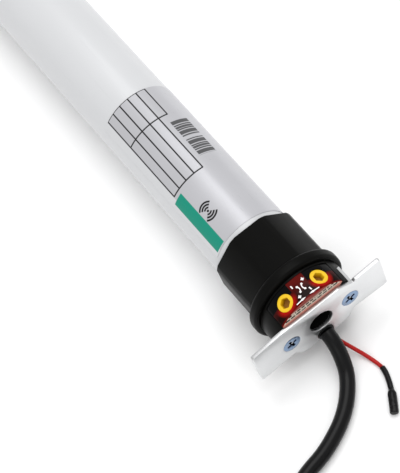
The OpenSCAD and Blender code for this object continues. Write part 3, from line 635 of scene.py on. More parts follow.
@dataclass(frozen=True)
class ClearWindow(Finish):
    """Dark red clear plastic with painted light round the adjusters and painted shade behind them, and a pale
    front wall with painted shade in its grooves.
    """

    # The darkest red is painted shade at the back of the panel, the bright red is painted light round the
    # adjusters and also tints the wall's top, and the near black is painted shade over the black head seen
    # through the plastic.
    dark: Colour = srgb(22, 5, 4)
    middle: Colour = srgb(92, 17, 14)
    bright: Colour = srgb(186, 20, 11)
    cream: Colour = srgb(208, 196, 178)
    rose: Colour = srgb(194, 124, 110)
    # Dark brown of the painted shade in the wall's grooves.
    groove_shade: Colour = srgb(44, 28, 22)
    shaded_backing: Colour = srgb(7, 7, 8)
    front: float = -1.6
    radius: float = 19.3
    adjuster_x: float = -7.2
    adjuster_turn: float = 26.0
    painted_glow_radius: float = 4.7
    panel: float = 11.4
    side_back: float = -8.0
    wall_foot: float = 13.6
    wall_top: float = 16.9
    upper_groove: float = 16.2
    lower_groove: float = 14.6

    def roof(self, shader: Shader, swirl: Expression) -> bpy.types.NodeSocket:
        """Gives the colour of the curved roof: a maroon panel, darker to the back in painted shade, red
        painted light round the adjusters and along the front edge, and black behind them, painted shade over
        the black head seen through the plastic.

        Args:
            shader: The material's nodes.
            swirl: The plastic's unevenness.

        Returns:
            The colour.
        """
        along = shader.x - self.adjuster_x
        turn = abs(shader.z.turned_from(shader.y) - 90.0)
        around = (turn - self.adjuster_turn) * (math.radians(1.0) * self.radius)
        # Painted light: bright red round each adjuster and, weaker, along the front edge.
        near = (1 - along.long_side(around).past(self.painted_glow_radius, 2.4)) * along.past(0.6, 2.6)
        painted_glow = near.larger(shader.x.past(-2.35, 0.9) * 0.3)
        # Painted shade: the panel darkens towards its back.
        body = shader.mix(shader.x.past(self.side_back, 6.0) + swirl.swing(0.3), self.middle, self.dark)
        # Painted shade: near black at the sides behind the adjusters, over the black head seen through.
        corner = turn.past(self.panel, 0.6) * (1 - shader.x.past(self.side_back, 0.3))
        return shader.mix(corner, shader.mix(painted_glow, body, self.bright), self.shaded_backing)

    def wall(self, shader: Shader) -> bpy.types.NodeSocket:
        """Gives the colour of the front wall: red above, cream crossed by broken lines of painted shade in
        its grooves, and rose at the foot.

        Args:
            shader: The material's nodes.

        Returns:
            The colour.
        """
        streak = shader.noise(0.8, 3.0, (1.0, 0.12, 1.0))
        z = shader.z + streak.swing(0.6)
        tone = shader.mix(z.past(self.wall_foot, 0.7), self.rose, self.cream)
        clear = shader.mix(streak.past(0.5, 0.3), shade(self.bright, 0.4), shade(self.rose, 0.5))
        tone = shader.mix(z.past(self.wall_top, 1.2), tone, clear)
        # Painted shade: dark dashed lines stand in for the shade in the wall's grooves, broken up at random.
        upper = z.line_at(self.upper_groove, 0.5, 0.3) * shader.y.lines_every(0.3, 2.1, 0.8, 0.3)
        lower = z.line_at(self.lower_groove, 0.5, 0.3) * shader.y.lines_every(1.2, 2.6, 1.05, 0.3)
        groove_breaks = shader.noise(2.2, 1.0).past(0.34, 0.12)
        return shader.mix(upper.larger(lower) * groove_breaks, tone, self.groove_shade)

    def dress(self, shader: Shader) -> None:
        """Sets the clear roof, and the front wall mixed over it.

        Args:
            shader: The material's nodes.
        """
        swirl = shader.noise(3.0, 2.0)
        shader.give(base_color=self.roof(shader, swirl), roughness=0.1 + swirl * 0.08)
        shader.give(transmission_weight=0.06, ior=1.45, specular_ior_level=0.04)
        shader.relief(swirl, 0.02)
        settings = {"Base Color": self.wall(shader), "Roughness": 0.3, "Specular IOR Level": 0.15}
        polished = shader.node("ShaderNodeBsdfPrincipled", sockets=settings)
        share = shader.x.past(self.front - 0.15, 0.1)
        both = {0: share, 1: shader.surface.outputs[0], 2: polished.outputs[0]}
        mixed = shader.node("ShaderNodeMixShader", sockets=both)
        shader.feed(shader.output.inputs["Surface"], mixed.outputs[0])


@dataclass(frozen=True)
class CordSheath(Finish):
    """Extruded sheath of a lead or wire."""

    colour: Colour
    roughness: float = 0.4
    gloss: float = 0.4

    def dress(self, shader: Shader) -> None:
        """Sets a faint bloom and the fine waviness of an extruded sheath.

        Args:
            shader: The material's nodes.
        """
        bloom = shader.noise(8.0, 4.0)
        skin = shader.noise(0.6, 3.0)
        shader.give(base_color=shader.shades(bloom, self.colour, 0.8, 1.3), specular_ior_level=self.gloss)
        shader.give(roughness=self.roughness + bloom.swing(0.16) + skin.swing(0.08))
        shader.relief(skin, 0.015)


@dataclass(frozen=True)
class EarthSheath(Finish):
    """Sheath in two colours that run side by side along a core, which follows a wide arc."""

    colour: Colour
    second: Colour
    centre: Spot
    middle: float
    growth: float
    start: float

    def dress(self, shader: Shader) -> None:
        """Sets one colour on the outer side of the arc and the other on its inner side.

        Args:
            shader: The material's nodes.
        """
        across, along = shader.x - self.centre[0], shader.y - self.centre[1]
        angle = along.turned_from(across) + 360.0
        middle = (angle - self.start) * (self.growth / 360) + self.middle
        outer = (across.long_side(along) - middle).past(0.0, 0.08)
        skin = shader.noise(0.6, 3.0)
        shader.give(base_color=shader.mix(outer, self.colour, self.second), roughness=0.36 + skin * 0.1)
        shader.relief(skin, 0.012)


@dataclass(frozen=True)
class CircuitBoard(Finish):
    """Solder mask over copper tracks."""

    mask: Colour
    track: Colour

    def dress(self, shader: Shader) -> None:
        """Sets straight tracks, round pads and the mask between them.

        Args:
            shader: The material's nodes.
        """
        sway = shader.noise(18.0, 0.0).past(0.5, 0.02)
        tracks = shader.y.lines_every(0.4, 1.6, 0.3, 0.08) * sway
        cross = shader.x.lines_every(0.0, 5.2, 0.35, 0.08) * (1 - sway)
        pads = shader.x.lines_every(1.3, 2.6, 0.5, 0.1) * shader.y.lines_every(1.2, 3.2, 0.5, 0.1)
        copper = tracks.larger(cross)
        mask = shader.shades(copper, self.mask, 1.0, 1.8)
        shader.give(base_color=shader.mix(pads, mask, self.track), metallic=pads * 0.8)
        shader.give(roughness=0.34 + shader.noise(3.0) * 0.1)
        shader.relief(copper.larger(pads), 0.03)


@dataclass(frozen=True)
class FloorPaint(Finish):
    """Pale matt studio floor."""

    colour: Colour
    roughness: float = 0.75

    def dress(self, shader: Shader) -> None:
        """Sets a faint unevenness."""
        tone = shader.shades(shader.noise(160.0, 2.0), self.colour, 0.99, 1.0)
        shader.give(base_color=tone, roughness=self.roughness)


BLACK = MouldedPlastic("moulded_black", srgb(10, 10, 9), roughness=0.36, gloss=0.05)
YELLOW = AdjusterPlastic("moulded_yellow", srgb(230, 188, 22), roughness=0.34, mottle=0.05)
GREY = MouldedPlastic("moulded_grey", srgb(168, 170, 172))
ORANGE = MouldedPlastic("moulded_orange", srgb(214, 104, 32))
RELAY = MouldedPlastic("relay_case", srgb(28, 60, 120), roughness=0.3)
CAPACITOR = MouldedPlastic("capacitor_sleeve", srgb(206, 208, 206), roughness=0.3)
FRICTION = MouldedPlastic("brake_lining", srgb(74, 58, 46), roughness=0.85, grain=0.8, depth=0.08, mottle=0.3)
NYLON = MouldedPlastic("natural_nylon", srgb(226, 224, 214), roughness=0.38, mottle=0.04)
INK = MouldedPlastic("white_ink", srgb(244, 240, 240), roughness=0.6, grain=0.2, depth=0.004, mottle=0.03)
ZINC_SHEET = BareMetal("zinc_sheet", srgb(226, 227, 228), Working.ROLLED, roughness=0.3)
BRACKET_ZINC = ShearedSheet("bracket_zinc", srgb(226, 227, 228), Working.ROLLED, roughness=0.36)
ZINC_SCREW = BareMetal("zinc_screw", srgb(196, 206, 220), Working.ROLLED, roughness=0.26)
BRACKET_SCREW = RecessedScrew("bracket_screw", srgb(136, 158, 188), Working.ROLLED, roughness=0.26)
BRIGHT_STEEL = BareMetal("bright_steel", srgb(206, 207, 210), Working.TURNED, roughness=0.2, pitch=0.35)
CORE_STEEL = BareMetal("core_steel", srgb(136, 138, 142), Working.STACKED, roughness=0.42, pitch=0.5)
GEAR_STEEL = BareMetal("gear_steel", srgb(150, 150, 152), Working.SINTERED, roughness=0.4, pitch=0.3)
COPPER = BareMetal("wound_copper", srgb(196, 112, 70), Working.WOUND, roughness=0.3, pitch=0.8, depth=0.12)
BRONZE = BareMetal("sintered_bronze", srgb(176, 130, 78), Working.SINTERED, roughness=0.46, pitch=0.25)
TINPLATE = BareMetal("tinplate", srgb(200, 202, 204), Working.ROLLED, roughness=0.28)
PAINT = srgb(200, 201, 203)
TUBE_PAINT = TubePaint("tube_paint", PAINT)
LABEL = LabelFilm("label_film", srgb(184, 184, 188), srgb(12, 12, 14), srgb(0, 134, 112), PAINT)
WINDOW = ClearWindow("clear_red")
SHEATH = CordSheath("black_sheath", srgb(11, 11, 12), roughness=0.3, gloss=0.15)
RED_SHEATH = CordSheath("red_sheath", srgb(166, 22, 18), roughness=0.34, gloss=0.2)
BROWN_SHEATH = CordSheath("brown_sheath", srgb(104, 58, 30), roughness=0.36)
BLUE_SHEATH = CordSheath("blue_sheath", srgb(44, 92, 178), roughness=0.36)
BOARD = CircuitBoard("circuit_board", srgb(20, 92, 52), srgb(214, 200, 160))
FLOOR = FloorPaint("studio_floor", srgb(250, 250, 250))


def pick(*pieces: bpy.types.Object) -> None:
    """Makes these the only selected objects, with the first of them active.

    Args:
        *pieces: The objects, or none.
    """
    if bpy.context.mode != "OBJECT":
        bpy.ops.object.mode_set(mode="OBJECT")
    bpy.ops.object.select_all(action="DESELECT")
    for piece in pieces:
        piece.select_set(True)
    if pieces:
        bpy.context.view_layer.objects.active = pieces[0]


def choose(piece: bpy.types.Object, kind: str, test: Callable[[Vector, Vector], bool]) -> None:
    """Selects faces or edges of the piece that is in edit mode, and nothing else.

    Args:
        piece: The piece in edit mode.
        kind: FACE or EDGE.
        test: Says whether an element is wanted, from its middle in millimetres and its normal or direction.
    """
    bpy.ops.mesh.select_mode(type=kind)
    bpy.ops.mesh.select_all(action="DESELECT")
    mesh = bmesh.from_edit_mesh(piece.data)
    for element in mesh.faces if kind == "FACE" else mesh.edges:
        if kind == "FACE":
            middle, way = element.calc_center_median(), element.normal
        else:
            start, end = (vertex.co for vertex in element.verts)
            middle, way = (start + end) / 2, (end - start).normalized()
        if test(middle / MM, way):
            element.select_set(True)
    bmesh.update_edit_mesh(piece.data)


def extrude(way: Sequence[float]) -> None:
    """Extrudes what is selected in edit mode along a way in millimetres."""
    bpy.ops.mesh.extrude_region_move(TRANSFORM_OT_translate={"value": Vector(way) * MM})


def rename(piece: bpy.types.Object, name: str) -> None:
    """Names a piece and its mesh."""
    piece.name = name
    piece.data.name = name


def put_down(piece: bpy.types.Object, place: Matrix) -> None:
    """Moves a piece and puts its new place in its mesh.

    Args:
        piece: The piece.
        place: Where it goes.
    """
    pick(piece)
    piece.matrix_world = place
    bpy.ops.object.transform_apply(location=True, rotation=True, scale=True)


def new_piece(name: str) -> bpy.types.Object:
    """Names the primitive that was just added, puts its place in its mesh and opens it in edit mode.

    Args:
        name: The piece's name.

    Returns:
        The piece.
    """
    piece = bpy.context.view_layer.objects.active
    rename(piece, name)
    bpy.ops.object.transform_apply(location=True, rotation=True, scale=True)
    bpy.ops.object.mode_set(mode="EDIT")
    return piece


def new_block(name: str, middle: Sequence[float], size: Sequence[float]) -> bpy.types.Object:
    """Adds a block and opens it in edit mode.

    Args:
        name: The block's name.
        middle: Its middle in millimetres.
        size: Its sides in millimetres.

    Returns:
        The block.
    """
    pick()
    bpy.ops.mesh.primitive_cube_add(size=1.0, location=Vector(middle) * MM, scale=Vector(size) * MM)
    return new_piece(name)


def apply_modifier(piece: bpy.types.Object, kind: str, **settings: object) -> None:
    """Adds a modifier to a piece and applies it.

    Args:
        piece: The piece.
        kind: The modifier's type.
        **settings: Its properties.
    """
    pick(piece)
    modifier = piece.modifiers.new(kind.lower(), kind)
    for name, value in settings.items():
        setattr(modifier, name, value)
    bpy.ops.object.modifier_apply(modifier=modifier.name)


def ease_edges(piece: bpy.types.Object, width: float, segments: int = 2, angle: float = 38.0) -> None:
    """Rounds a piece's sharp edges and smooths the rest.

    Args:
        piece: The piece.
        width: The rounding in millimetres.
        segments: How many faces the rounding has.
        angle: The least angle of a sharp edge in degrees.
    """
    apply_modifier(
        piece,
        "BEVEL",
        width=width * MM,
        segments=segments,
        limit_method="ANGLE",
        angle_limit=math.radians(angle),
        use_clamp_overlap=True,
    )
    bpy.ops.object.shade_smooth_by_angle(angle=SMOOTH_ANGLE)


def eased_copy(node: str, name: str, width: float, segments: int = 2) -> bpy.types.Object:
    """Copies a CAD node, merges its loose triangles and rounds its sharp edges.

    Args:
        node: The CAD node.
        name: The copy's name.
        width: The rounding in millimetres, or 0 for none.
        segments: How many faces the rounding has.

    Returns:
        The copy, which rides on nothing yet.
    """
    pick(frame["nodes"][node])
    bpy.ops.object.duplicate()
    piece = bpy.context.view_layer.objects.active
    rename(piece, name)
    piece.parent = None
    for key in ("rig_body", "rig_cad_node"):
        del piece[key]
    bpy.ops.mesh.customdata_custom_splitnormals_clear()
    bpy.ops.object.mode_set(mode="EDIT")
    bpy.ops.mesh.select_all(action="SELECT")
    bpy.ops.mesh.remove_doubles(threshold=MERGE_DISTANCE)
    bpy.ops.mesh.dissolve_limited(angle_limit=FLAT_ANGLE)
    bpy.ops.object.mode_set(mode="OBJECT")
    if width:
        ease_edges(piece, width, segments)
    else:
        bpy.ops.object.shade_smooth_by_angle(angle=SMOOTH_ANGLE)
    return piece


def dress_piece(piece: bpy.types.Object, slot: str, finish: Finish, *nodes: str) -> None:
    """Gives a finished piece its finish, and hides the CAD nodes that it stands for.

    Args:
        piece: The piece.
        slot: The record's material slot, which is not used.
        finish: Its finish.
        *nodes: The CAD nodes that it stands for.
    """
    pick(piece)
    piece.data.materials.clear()
    piece.data.materials.append(finish.material())
    if nodes:
        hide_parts(*nodes)
    LOG.info("piece %s, finish %s", piece.name, finish.name)


def settle(piece: bpy.types.Object, body: str, slot: str, finish: Finish, *nodes: str) -> bpy.types.Object:
    """Dresses a finished piece and fixes it to its body.

    Args:
        piece: The piece.
        body: The CAD body that it rides on.
        slot: The record's material slot, which is passed on but not used.
        finish: Its finish.
        *nodes: The CAD nodes that it stands for.

    Returns:
        The piece.
    """
    dress_piece(piece, slot, finish, *nodes)
    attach(piece, body)
    return piece


def dress_node(node: str, finish: Finish) -> None:
    """Gives a CAD node that stays in view its finish.

    Args:
        node: The CAD node.
        finish: Its finish.
    """
    piece = frame["nodes"][node]
    if not piece.material_slots:
        piece.data.materials.append(finish.material())
    for slot in piece.material_slots:
        slot.material = finish.material()
    LOG.info("node %s, finish %s", node, finish.name)


@dataclass(frozen=True)
class EasedPart:
    """A CAD node that is shown by a copy with eased edges, all sizes in millimetres."""

    node: str
    name: str
    slot: str
    finish: Finish
    edge: float
    segments: int = 2
    body: str = RIGID

    def build(self) -> None:
        """Copies the node, eases the copy and settles it in the node's place."""
        piece = eased_copy(self.node, self.name, self.edge, self.segments)
        settle(piece, self.body, self.slot, self.finish, self.node)


def smooth_route(points: Sequence[Point], steps: int) -> list[Point]:
    """Puts a smooth line through a route's points.

    Args:
        points: The route's points.
        steps: How many steps lie between two points.

    Returns:
        The points of the smooth line.
    """
    ends = [points[0], *points, points[-1]]
    line = []
    for i in range(len(points) - 1):
        before, here, there, after = (Vector(p) for p in ends[i : i + 4])
        for step in range(steps):
            t = step / steps
            middle = 2 * here + (there - before) * t
            bend = (2 * before - 5 * here + 4 * there - after) * t**2
            twist = (3 * here - before - 3 * there + after) * t**3
            line.append(tuple((middle + bend + twist) / 2))
    line.append(tuple(points[-1]))
    return line


def cord_curve(name: str, points: Sequence[Point], diameter: float, sides: int = 5) -> bpy.types.Object:
    """Makes a round cord as one open curve.

    Args:
        name: The cord's name.
        points: Its centre line in millimetres.
        diameter: Its diameter in millimetres.
        sides: How finely its section is rounded.

    Returns:
        The cord.
    """
    data = bpy.data.curves.new(name, "CURVE")
    data.dimensions = "3D"
    data.bevel_depth = diameter / 2 * MM
    data.bevel_resolution = sides
    data.use_fill_caps = True
    spline = data.splines.new("POLY")
    spline.points.add(len(points) - 1)
    for knot, point in zip(spline.points, points):
        knot.co = (*(c * MM for c in point), 1.0)
    spline.use_smooth = True
    cord = bpy.data.objects.new(name, data)
    bpy.context.scene.collection.objects.link(cord)
    return cord


@dataclass(frozen=True)
class SoftLight:
    """A square soft light: its place and side in millimetres, and its power in watts."""

    name: str
    place: Point
    side: float
    power: float


@dataclass
class Studio:
    """The camera, the lights and the floor."""

    eye: Point = (337.38, -100.85, 687.72)
    right: Point = (0.573, 0.7852, -0.2347)
    up: Point = (-0.6487, 0.6096, 0.4556)
    back: Point = (0.5008, -0.1088, 0.8587)
    lens: float = 150.5
    nearest: float = 20.0
    room_light: float = 0.8
    aim: Point = (-120.0, 0.0, 0.0)
    lights: tuple[SoftLight, ...] = (
        SoftLight("key_light", (-250.0, 320.0, 1250.0), 1000.0, 9.0),
        SoftLight("fill_light", (600.0, -500.0, 600.0), 700.0, 1.4),
    )
    floor_level: float = -21.5
    floor_size: float = 6000.0

    def place_camera(self) -> None:
        """Sets the camera where the photograph was taken from."""
        data = bpy.data.cameras.new("camera")
        data.lens = self.lens
        data.clip_start = self.nearest * MM
        camera = bpy.data.objects.new("camera", data)
        bpy.context.scene.collection.objects.link(camera)
        turn = Matrix((self.right, self.up, self.back)).transposed()
        camera.matrix_world = Matrix.Translation(Vector(self.eye) * MM) @ turn.to_4x4()
        bpy.context.scene.camera = camera
        LOG.info("camera with a %.1f mm lens", self.lens)

    def hang(self, soft: SoftLight) -> None:
        """Hangs a light and points it at the object.

        Args:
            soft: The light.
        """
        data = bpy.data.lights.new(soft.name, "AREA")
        data.size = soft.side * MM
        data.energy = soft.power
        light = bpy.data.objects.new(soft.name, data)
        light.location = Vector(soft.place) * MM
        towards = Vector(self.aim) * MM - light.location
        light.rotation_euler = towards.to_track_quat("-Z", "Y").to_euler()
        bpy.context.scene.collection.objects.link(light)
        LOG.info("light %s", soft.name)

    def light_room(self) -> None:
        """Sets an even white room, a soft key light from above and a weak fill light."""
        world = bpy.data.worlds.new("studio")
        world.use_nodes = True
        background = world.node_tree.nodes["Background"]
        background.inputs["Color"].default_value = (1.0, 1.0, 1.0, 1.0)
        background.inputs["Strength"].default_value = self.room_light
        bpy.context.scene.world = world
        bpy.context.scene.view_settings.view_transform = "Standard"
        for soft in self.lights:
            self.hang(soft)

    def lay_floor(self) -> None:
        """Lays a pale floor under the object."""
        pick()
        bpy.ops.mesh.primitive_plane_add(size=self.floor_size * MM, location=(0, 0, self.floor_level * MM))
        floor = new_piece("floor")
        bpy.ops.mesh.subdivide(number_cuts=3)
        pick(floor)
        floor.data.materials.append(FLOOR.material())
        LOG.info("floor")

    def build(self) -> None:
        """Builds the studio."""
        self.place_camera()
        self.light_room()
        self.lay_floor()


@dataclass
class MainsLead:
    """The mains lead: its free run, its tied coil and its three stripped cores."""

    diameter: float = 6.4
    route: tuple[Point, ...] = (
        (0.4, 0.0, -10.0),
        (5.4, -0.3, -11.8),
        (11.0, -1.6, -15.4),
        (17.0, -4.4, -18.0),
        (24.0, -10.0, -18.2),
        (29.5, -16.6, -18.2),
        (33.5, -24.0, -18.2),
        (36.5, -32.0, -18.2),
        (38.5, -41.0, -18.2),
        (42.3, -51.4, -18.2),
        (48.8, -60.3, -18.2),
        (57.4, -67.3, -18.2),
        (67.5, -71.6, -18.2),
        (78.5, -73.1, -18.2),
        (92.0, -73.1, -18.1),
        (107.0, -73.1, -17.4),
        (120.6, -73.1, -16.7),
    )
    route_steps: int = 3
    centre: Spot = (127.0, -22.6)
    outer_radius: float = 50.475
    entry: float = 270.0
    step: float = 6.9
    base: float = -16.7
    turns: int = 7
    layer_turns: float = 3.5
    layers: int = 2
    turn_points: int = 36
    core_marks: str = "abc"
    core_diameter: float = 2.2
    core_sides: int = 3
    core_orbit: float = 1.35
    core_sweep: float = 63.0
    core_clear: float = 0.7
    core_drop: float = 1.8
    core_steps: int = 18
    ferrule_sides: int = 20
    ferrule_crease: float = 40.0
    ferrule_radius: float = 0.9
    ferrule_wall: float = 0.2
    ferrule_dish: float = 0.5
    crimps: tuple[Spot, ...] = (
        (0.8, 1.0),
        (0.4, 0.84),
        (1.2, 1.0),
        (0.4, 1.19),
        (1.0, 1.0),
        (0.4, 0.84),
        (1.2, 1.0),
        (0.4, 1.19),
        (1.8, 1.0),
        (0.4, 0.86),
    )
    strap_thickness: float = 1.2
    strap_width: float = 4.5
    strap_clear: float = 0.4
    strap_corner: int = 7
    strap_edge: float = 0.18
    lock: Point = (4.0, 6.0, 7.0)
    lock_wall: float = 0.7
    lock_dish: float = 0.8
    lock_edge: float = 0.35
    tail_length: float = 5.0
    tail_out: float = 1.9
    tail_rise: float = 1.5
    tail_tip: Point = (0.4, 0.0, 1.4)
    tail_taper: Point = (0.9, 0.8, 1.0)
    tail_edge: float = 0.15

    def round_coil(self, radius: float, degrees: float, z: float) -> Point:
        """Gives a point at a radius and an angle from the coil's middle."""
        angle = math.radians(degrees)
        return (self.centre[0] + radius * math.cos(angle), self.centre[1] + radius * math.sin(angle), z)

    def coil_point(self, turn: float) -> Point:
        """Gives the coil's centre line after some turns: in and out again, and one layer up at each reversal.

        Args:
            turn: The turns wound so far.

        Returns:
            The point in millimetres.
        """
        phase = turn % (2 * self.layer_turns)
        radius = self.outer_radius - self.step * min(phase, 2 * self.layer_turns - phase)
        near = math.floor(turn / self.layer_turns + 0.5)
        climb = near - 0.5 + max(-0.5, min(0.5, (turn - near * self.layer_turns) * 2))
        climb = max(0.0, min(self.layers - 1.0, climb))
        return self.round_coil(radius, self.entry + 360 * turn, self.base + self.step * climb)

    def end_point(self) -> Point:
        """Gives the end of the sheath, just past the coil's last turn.

        Returns:
            The point in millimetres.
        """
        angle = math.radians(self.entry)
        ahead = Vector((-math.sin(angle), math.cos(angle), 0.0)) * self.diameter
        return tuple(Vector(self.coil_point(self.turns)) + ahead)

    def core_start(self) -> float:
        """Gives the angle on the coil where the cores start, in degrees."""
        return self.entry + math.degrees(math.asin((self.diameter + self.core_clear) / self.outer_radius))

    def core_place(self, index: int) -> Spot:
        """Gives how far outwards and upwards a core lies from the sheath's middle, in millimetres."""
        turn = math.radians(90 + 120 * index)
        return self.core_orbit * math.cos(turn), self.core_orbit * math.sin(turn)

    def core_line(self, index: int) -> list[Point]:
        """Gives one core's centre line.

        Args:
            index: The core's number, from 0.

        Returns:
            Its points in millimetres.
        """
        out, up = self.core_place(index)
        line = []
        for i in range(self.core_steps + 1):
            part = i / self.core_steps
            radius = self.outer_radius + self.step * self.core_sweep * part / 360 + out
            z = self.end_point()[2] - self.core_drop * part + up
            line.append(self.round_coil(radius, self.core_start() + self.core_sweep * part, z))
        return line

    def build_sheath(self, tie: bpy.types.Object) -> None:
        """Lays the lead from the gland to the end of its coil as one cord.

        Args:
            tie: The coil's tie, which is not used.
        """
        steps = range(self.turns * self.turn_points + 1)
        coil = [self.coil_point(step / self.turn_points) for step in steps]
        line = [*smooth_route(self.route, self.route_steps), *coil, self.end_point()]
        lead = cord_curve("mains_lead_sheath", line, self.diameter)
        settle(lead, RIGID, "black_rubber", SHEATH, "mains_lead", "mains_lead_coil")

    def build_strap(self, middle: float, wide: float, high: float) -> bpy.types.Object:
        """Makes the strap that goes round the coil's turns.

        Args:
            middle: How far the turns' middle is from the coil's middle.
            wide: The strap's inner width.
            high: The strap's inner height.

        Returns:
            The strap.
        """
        strap = new_block("coil_tie_strap", (middle, 0.0, 0.0), (wide, self.strap_width, high))
        choose(strap, "FACE", lambda place, normal: abs(normal.y) > ALIGNED)
        bpy.ops.mesh.delete(type="ONLY_FACE")
        choose(strap, "EDGE", lambda place, way: abs(way.y) > ALIGNED)
        bpy.ops.mesh.bevel(offset=self.diameter / 2 * MM, segments=self.strap_corner, affect="EDGES")
        thickness = self.strap_thickness * MM
        apply_modifier(strap, "SOLIDIFY", thickness=thickness, offset=1.0, use_even_offset=True)
        ease_edges(strap, self.strap_edge)
        return strap

    def build_lock(self, out: float) -> bpy.types.Object:
        """Makes the lock on the strap's outer side.

        Args:
            out: How far the strap reaches from the coil's middle.

        Returns:
            The lock.
        """
        lock = new_block("coil_tie_lock", (out + self.lock[0] / 2, 0.0, 0.0), self.lock)
        choose(lock, "FACE", lambda place, normal: abs(normal.z) > ALIGNED)
        bpy.ops.mesh.inset(thickness=self.lock_wall * MM, use_individual=True)
        bpy.ops.transform.resize(value=(1.0, 1.0, self.lock_dish))
        ease_edges(lock, self.lock_edge)
        return lock

    def build_tail(self, out: float) -> bpy.types.Object:
        """Makes the cut tail that stands up from the lock.

        Args:
            out: How far the strap reaches from the coil's middle.

        Returns:
            The tail.
        """
        middle = (out + self.tail_out, 0.0, self.lock[2] / 2 + self.tail_rise)
        size = (self.strap_thickness, self.strap_width, self.tail_length)
        tail = new_block("coil_tie_tail", middle, size)
        choose(tail, "FACE", lambda place, normal: normal.z > ALIGNED)
        extrude(self.tail_tip)
        bpy.ops.transform.resize(value=self.tail_taper)
        ease_edges(tail, self.tail_edge)
        return tail

    def build_tie(self) -> bpy.types.Object:
        """Makes the coil's tie and puts it where the coil starts.

        Returns:
            The tie.
        """
        room = self.diameter + 2 * self.strap_clear
        wide = (math.ceil(self.layer_turns) - 1) * self.step + room
        high = (self.layers - 1) * self.step + room
        middle = self.outer_radius - self.step * self.layer_turns / 2
        out = middle + wide / 2
        tie = self.build_strap(middle, wide, high)
        pick(tie, self.build_lock(out), self.build_tail(out))
        bpy.ops.object.join()
        tie.name = "coil_tie_detailed"
        rise = self.base + (self.layers - 1) * self.step / 2
        turn = Matrix.Rotation(math.radians(self.entry - 90), 4, "Z")
        put_down(tie, Matrix.Translation(Vector((*self.centre, rise)) * MM) @ turn)
        return settle(tie, RIGID, "nylon", NYLON, "coil_tie")

    def build_ferrule(self, index: int) -> bpy.types.Object:
        """Presses a ferrule on a core's end.

        Args:
            index: The core's number, from 0.

        Returns:
            The ferrule.
        """
        line = self.core_line(index)
        end, way = Vector(line[-1]), (Vector(line[-1]) - Vector(line[-2])).normalized()
        pick()
        radius = self.ferrule_radius * MM
        bpy.ops.mesh.primitive_circle_add(vertices=self.ferrule_sides, radius=radius, fill_type="NGON")
        ferrule = new_piece(f"core_ferrule_{self.core_marks[index]}")
        bpy.ops.mesh.select_all(action="SELECT")
        for rise, swell in self.crimps:
            extrude((0.0, 0.0, rise))
            bpy.ops.transform.resize(value=(swell, swell, 1.0))
        bpy.ops.mesh.inset(thickness=self.ferrule_wall * MM)
        extrude((0.0, 0.0, -self.ferrule_dish))
        bpy.ops.mesh.select_all(action="SELECT")
        bpy.ops.mesh.normals_make_consistent(inside=False)
        put_down(ferrule, Matrix.Translation(end * MM) @ way.to_track_quat("Z", "Y").to_matrix().to_4x4())
        bpy.ops.object.shade_smooth_by_angle(angle=math.radians(self.ferrule_crease))
        nodes = ("core_ferrules",) if index == 0 else ()
        return settle(ferrule, RIGID, "bright_steel", BRIGHT_STEEL, *nodes)

    def build_cores(self) -> None:
        """Lays the brown, blue and striped cores past the sheath's end."""
        earth = EarthSheath(
            "earth_sheath",
            srgb(64, 142, 58),
            srgb(226, 206, 48),
            self.centre,
            self.outer_radius + self.core_place(2)[0],
            self.step,
            self.core_start(),
        )
        for index, finish in enumerate((BROWN_SHEATH, BLUE_SHEATH, earth)):
            line = self.core_line(index)
            name = f"mains_core_{self.core_marks[index]}"
            core = cord_curve(name, line, self.core_diameter, self.core_sides)
            nodes = ("mains_cores",) if index == 0 else ()
            settle(core, RIGID, "core_sheath", finish, *nodes)
            tuple(c * MM for c in line[0])
            self.build_ferrule(index)

    def build(self) -> None:
        """Builds the lead."""
        self.build_sheath(self.build_tie())
        self.build_cores()


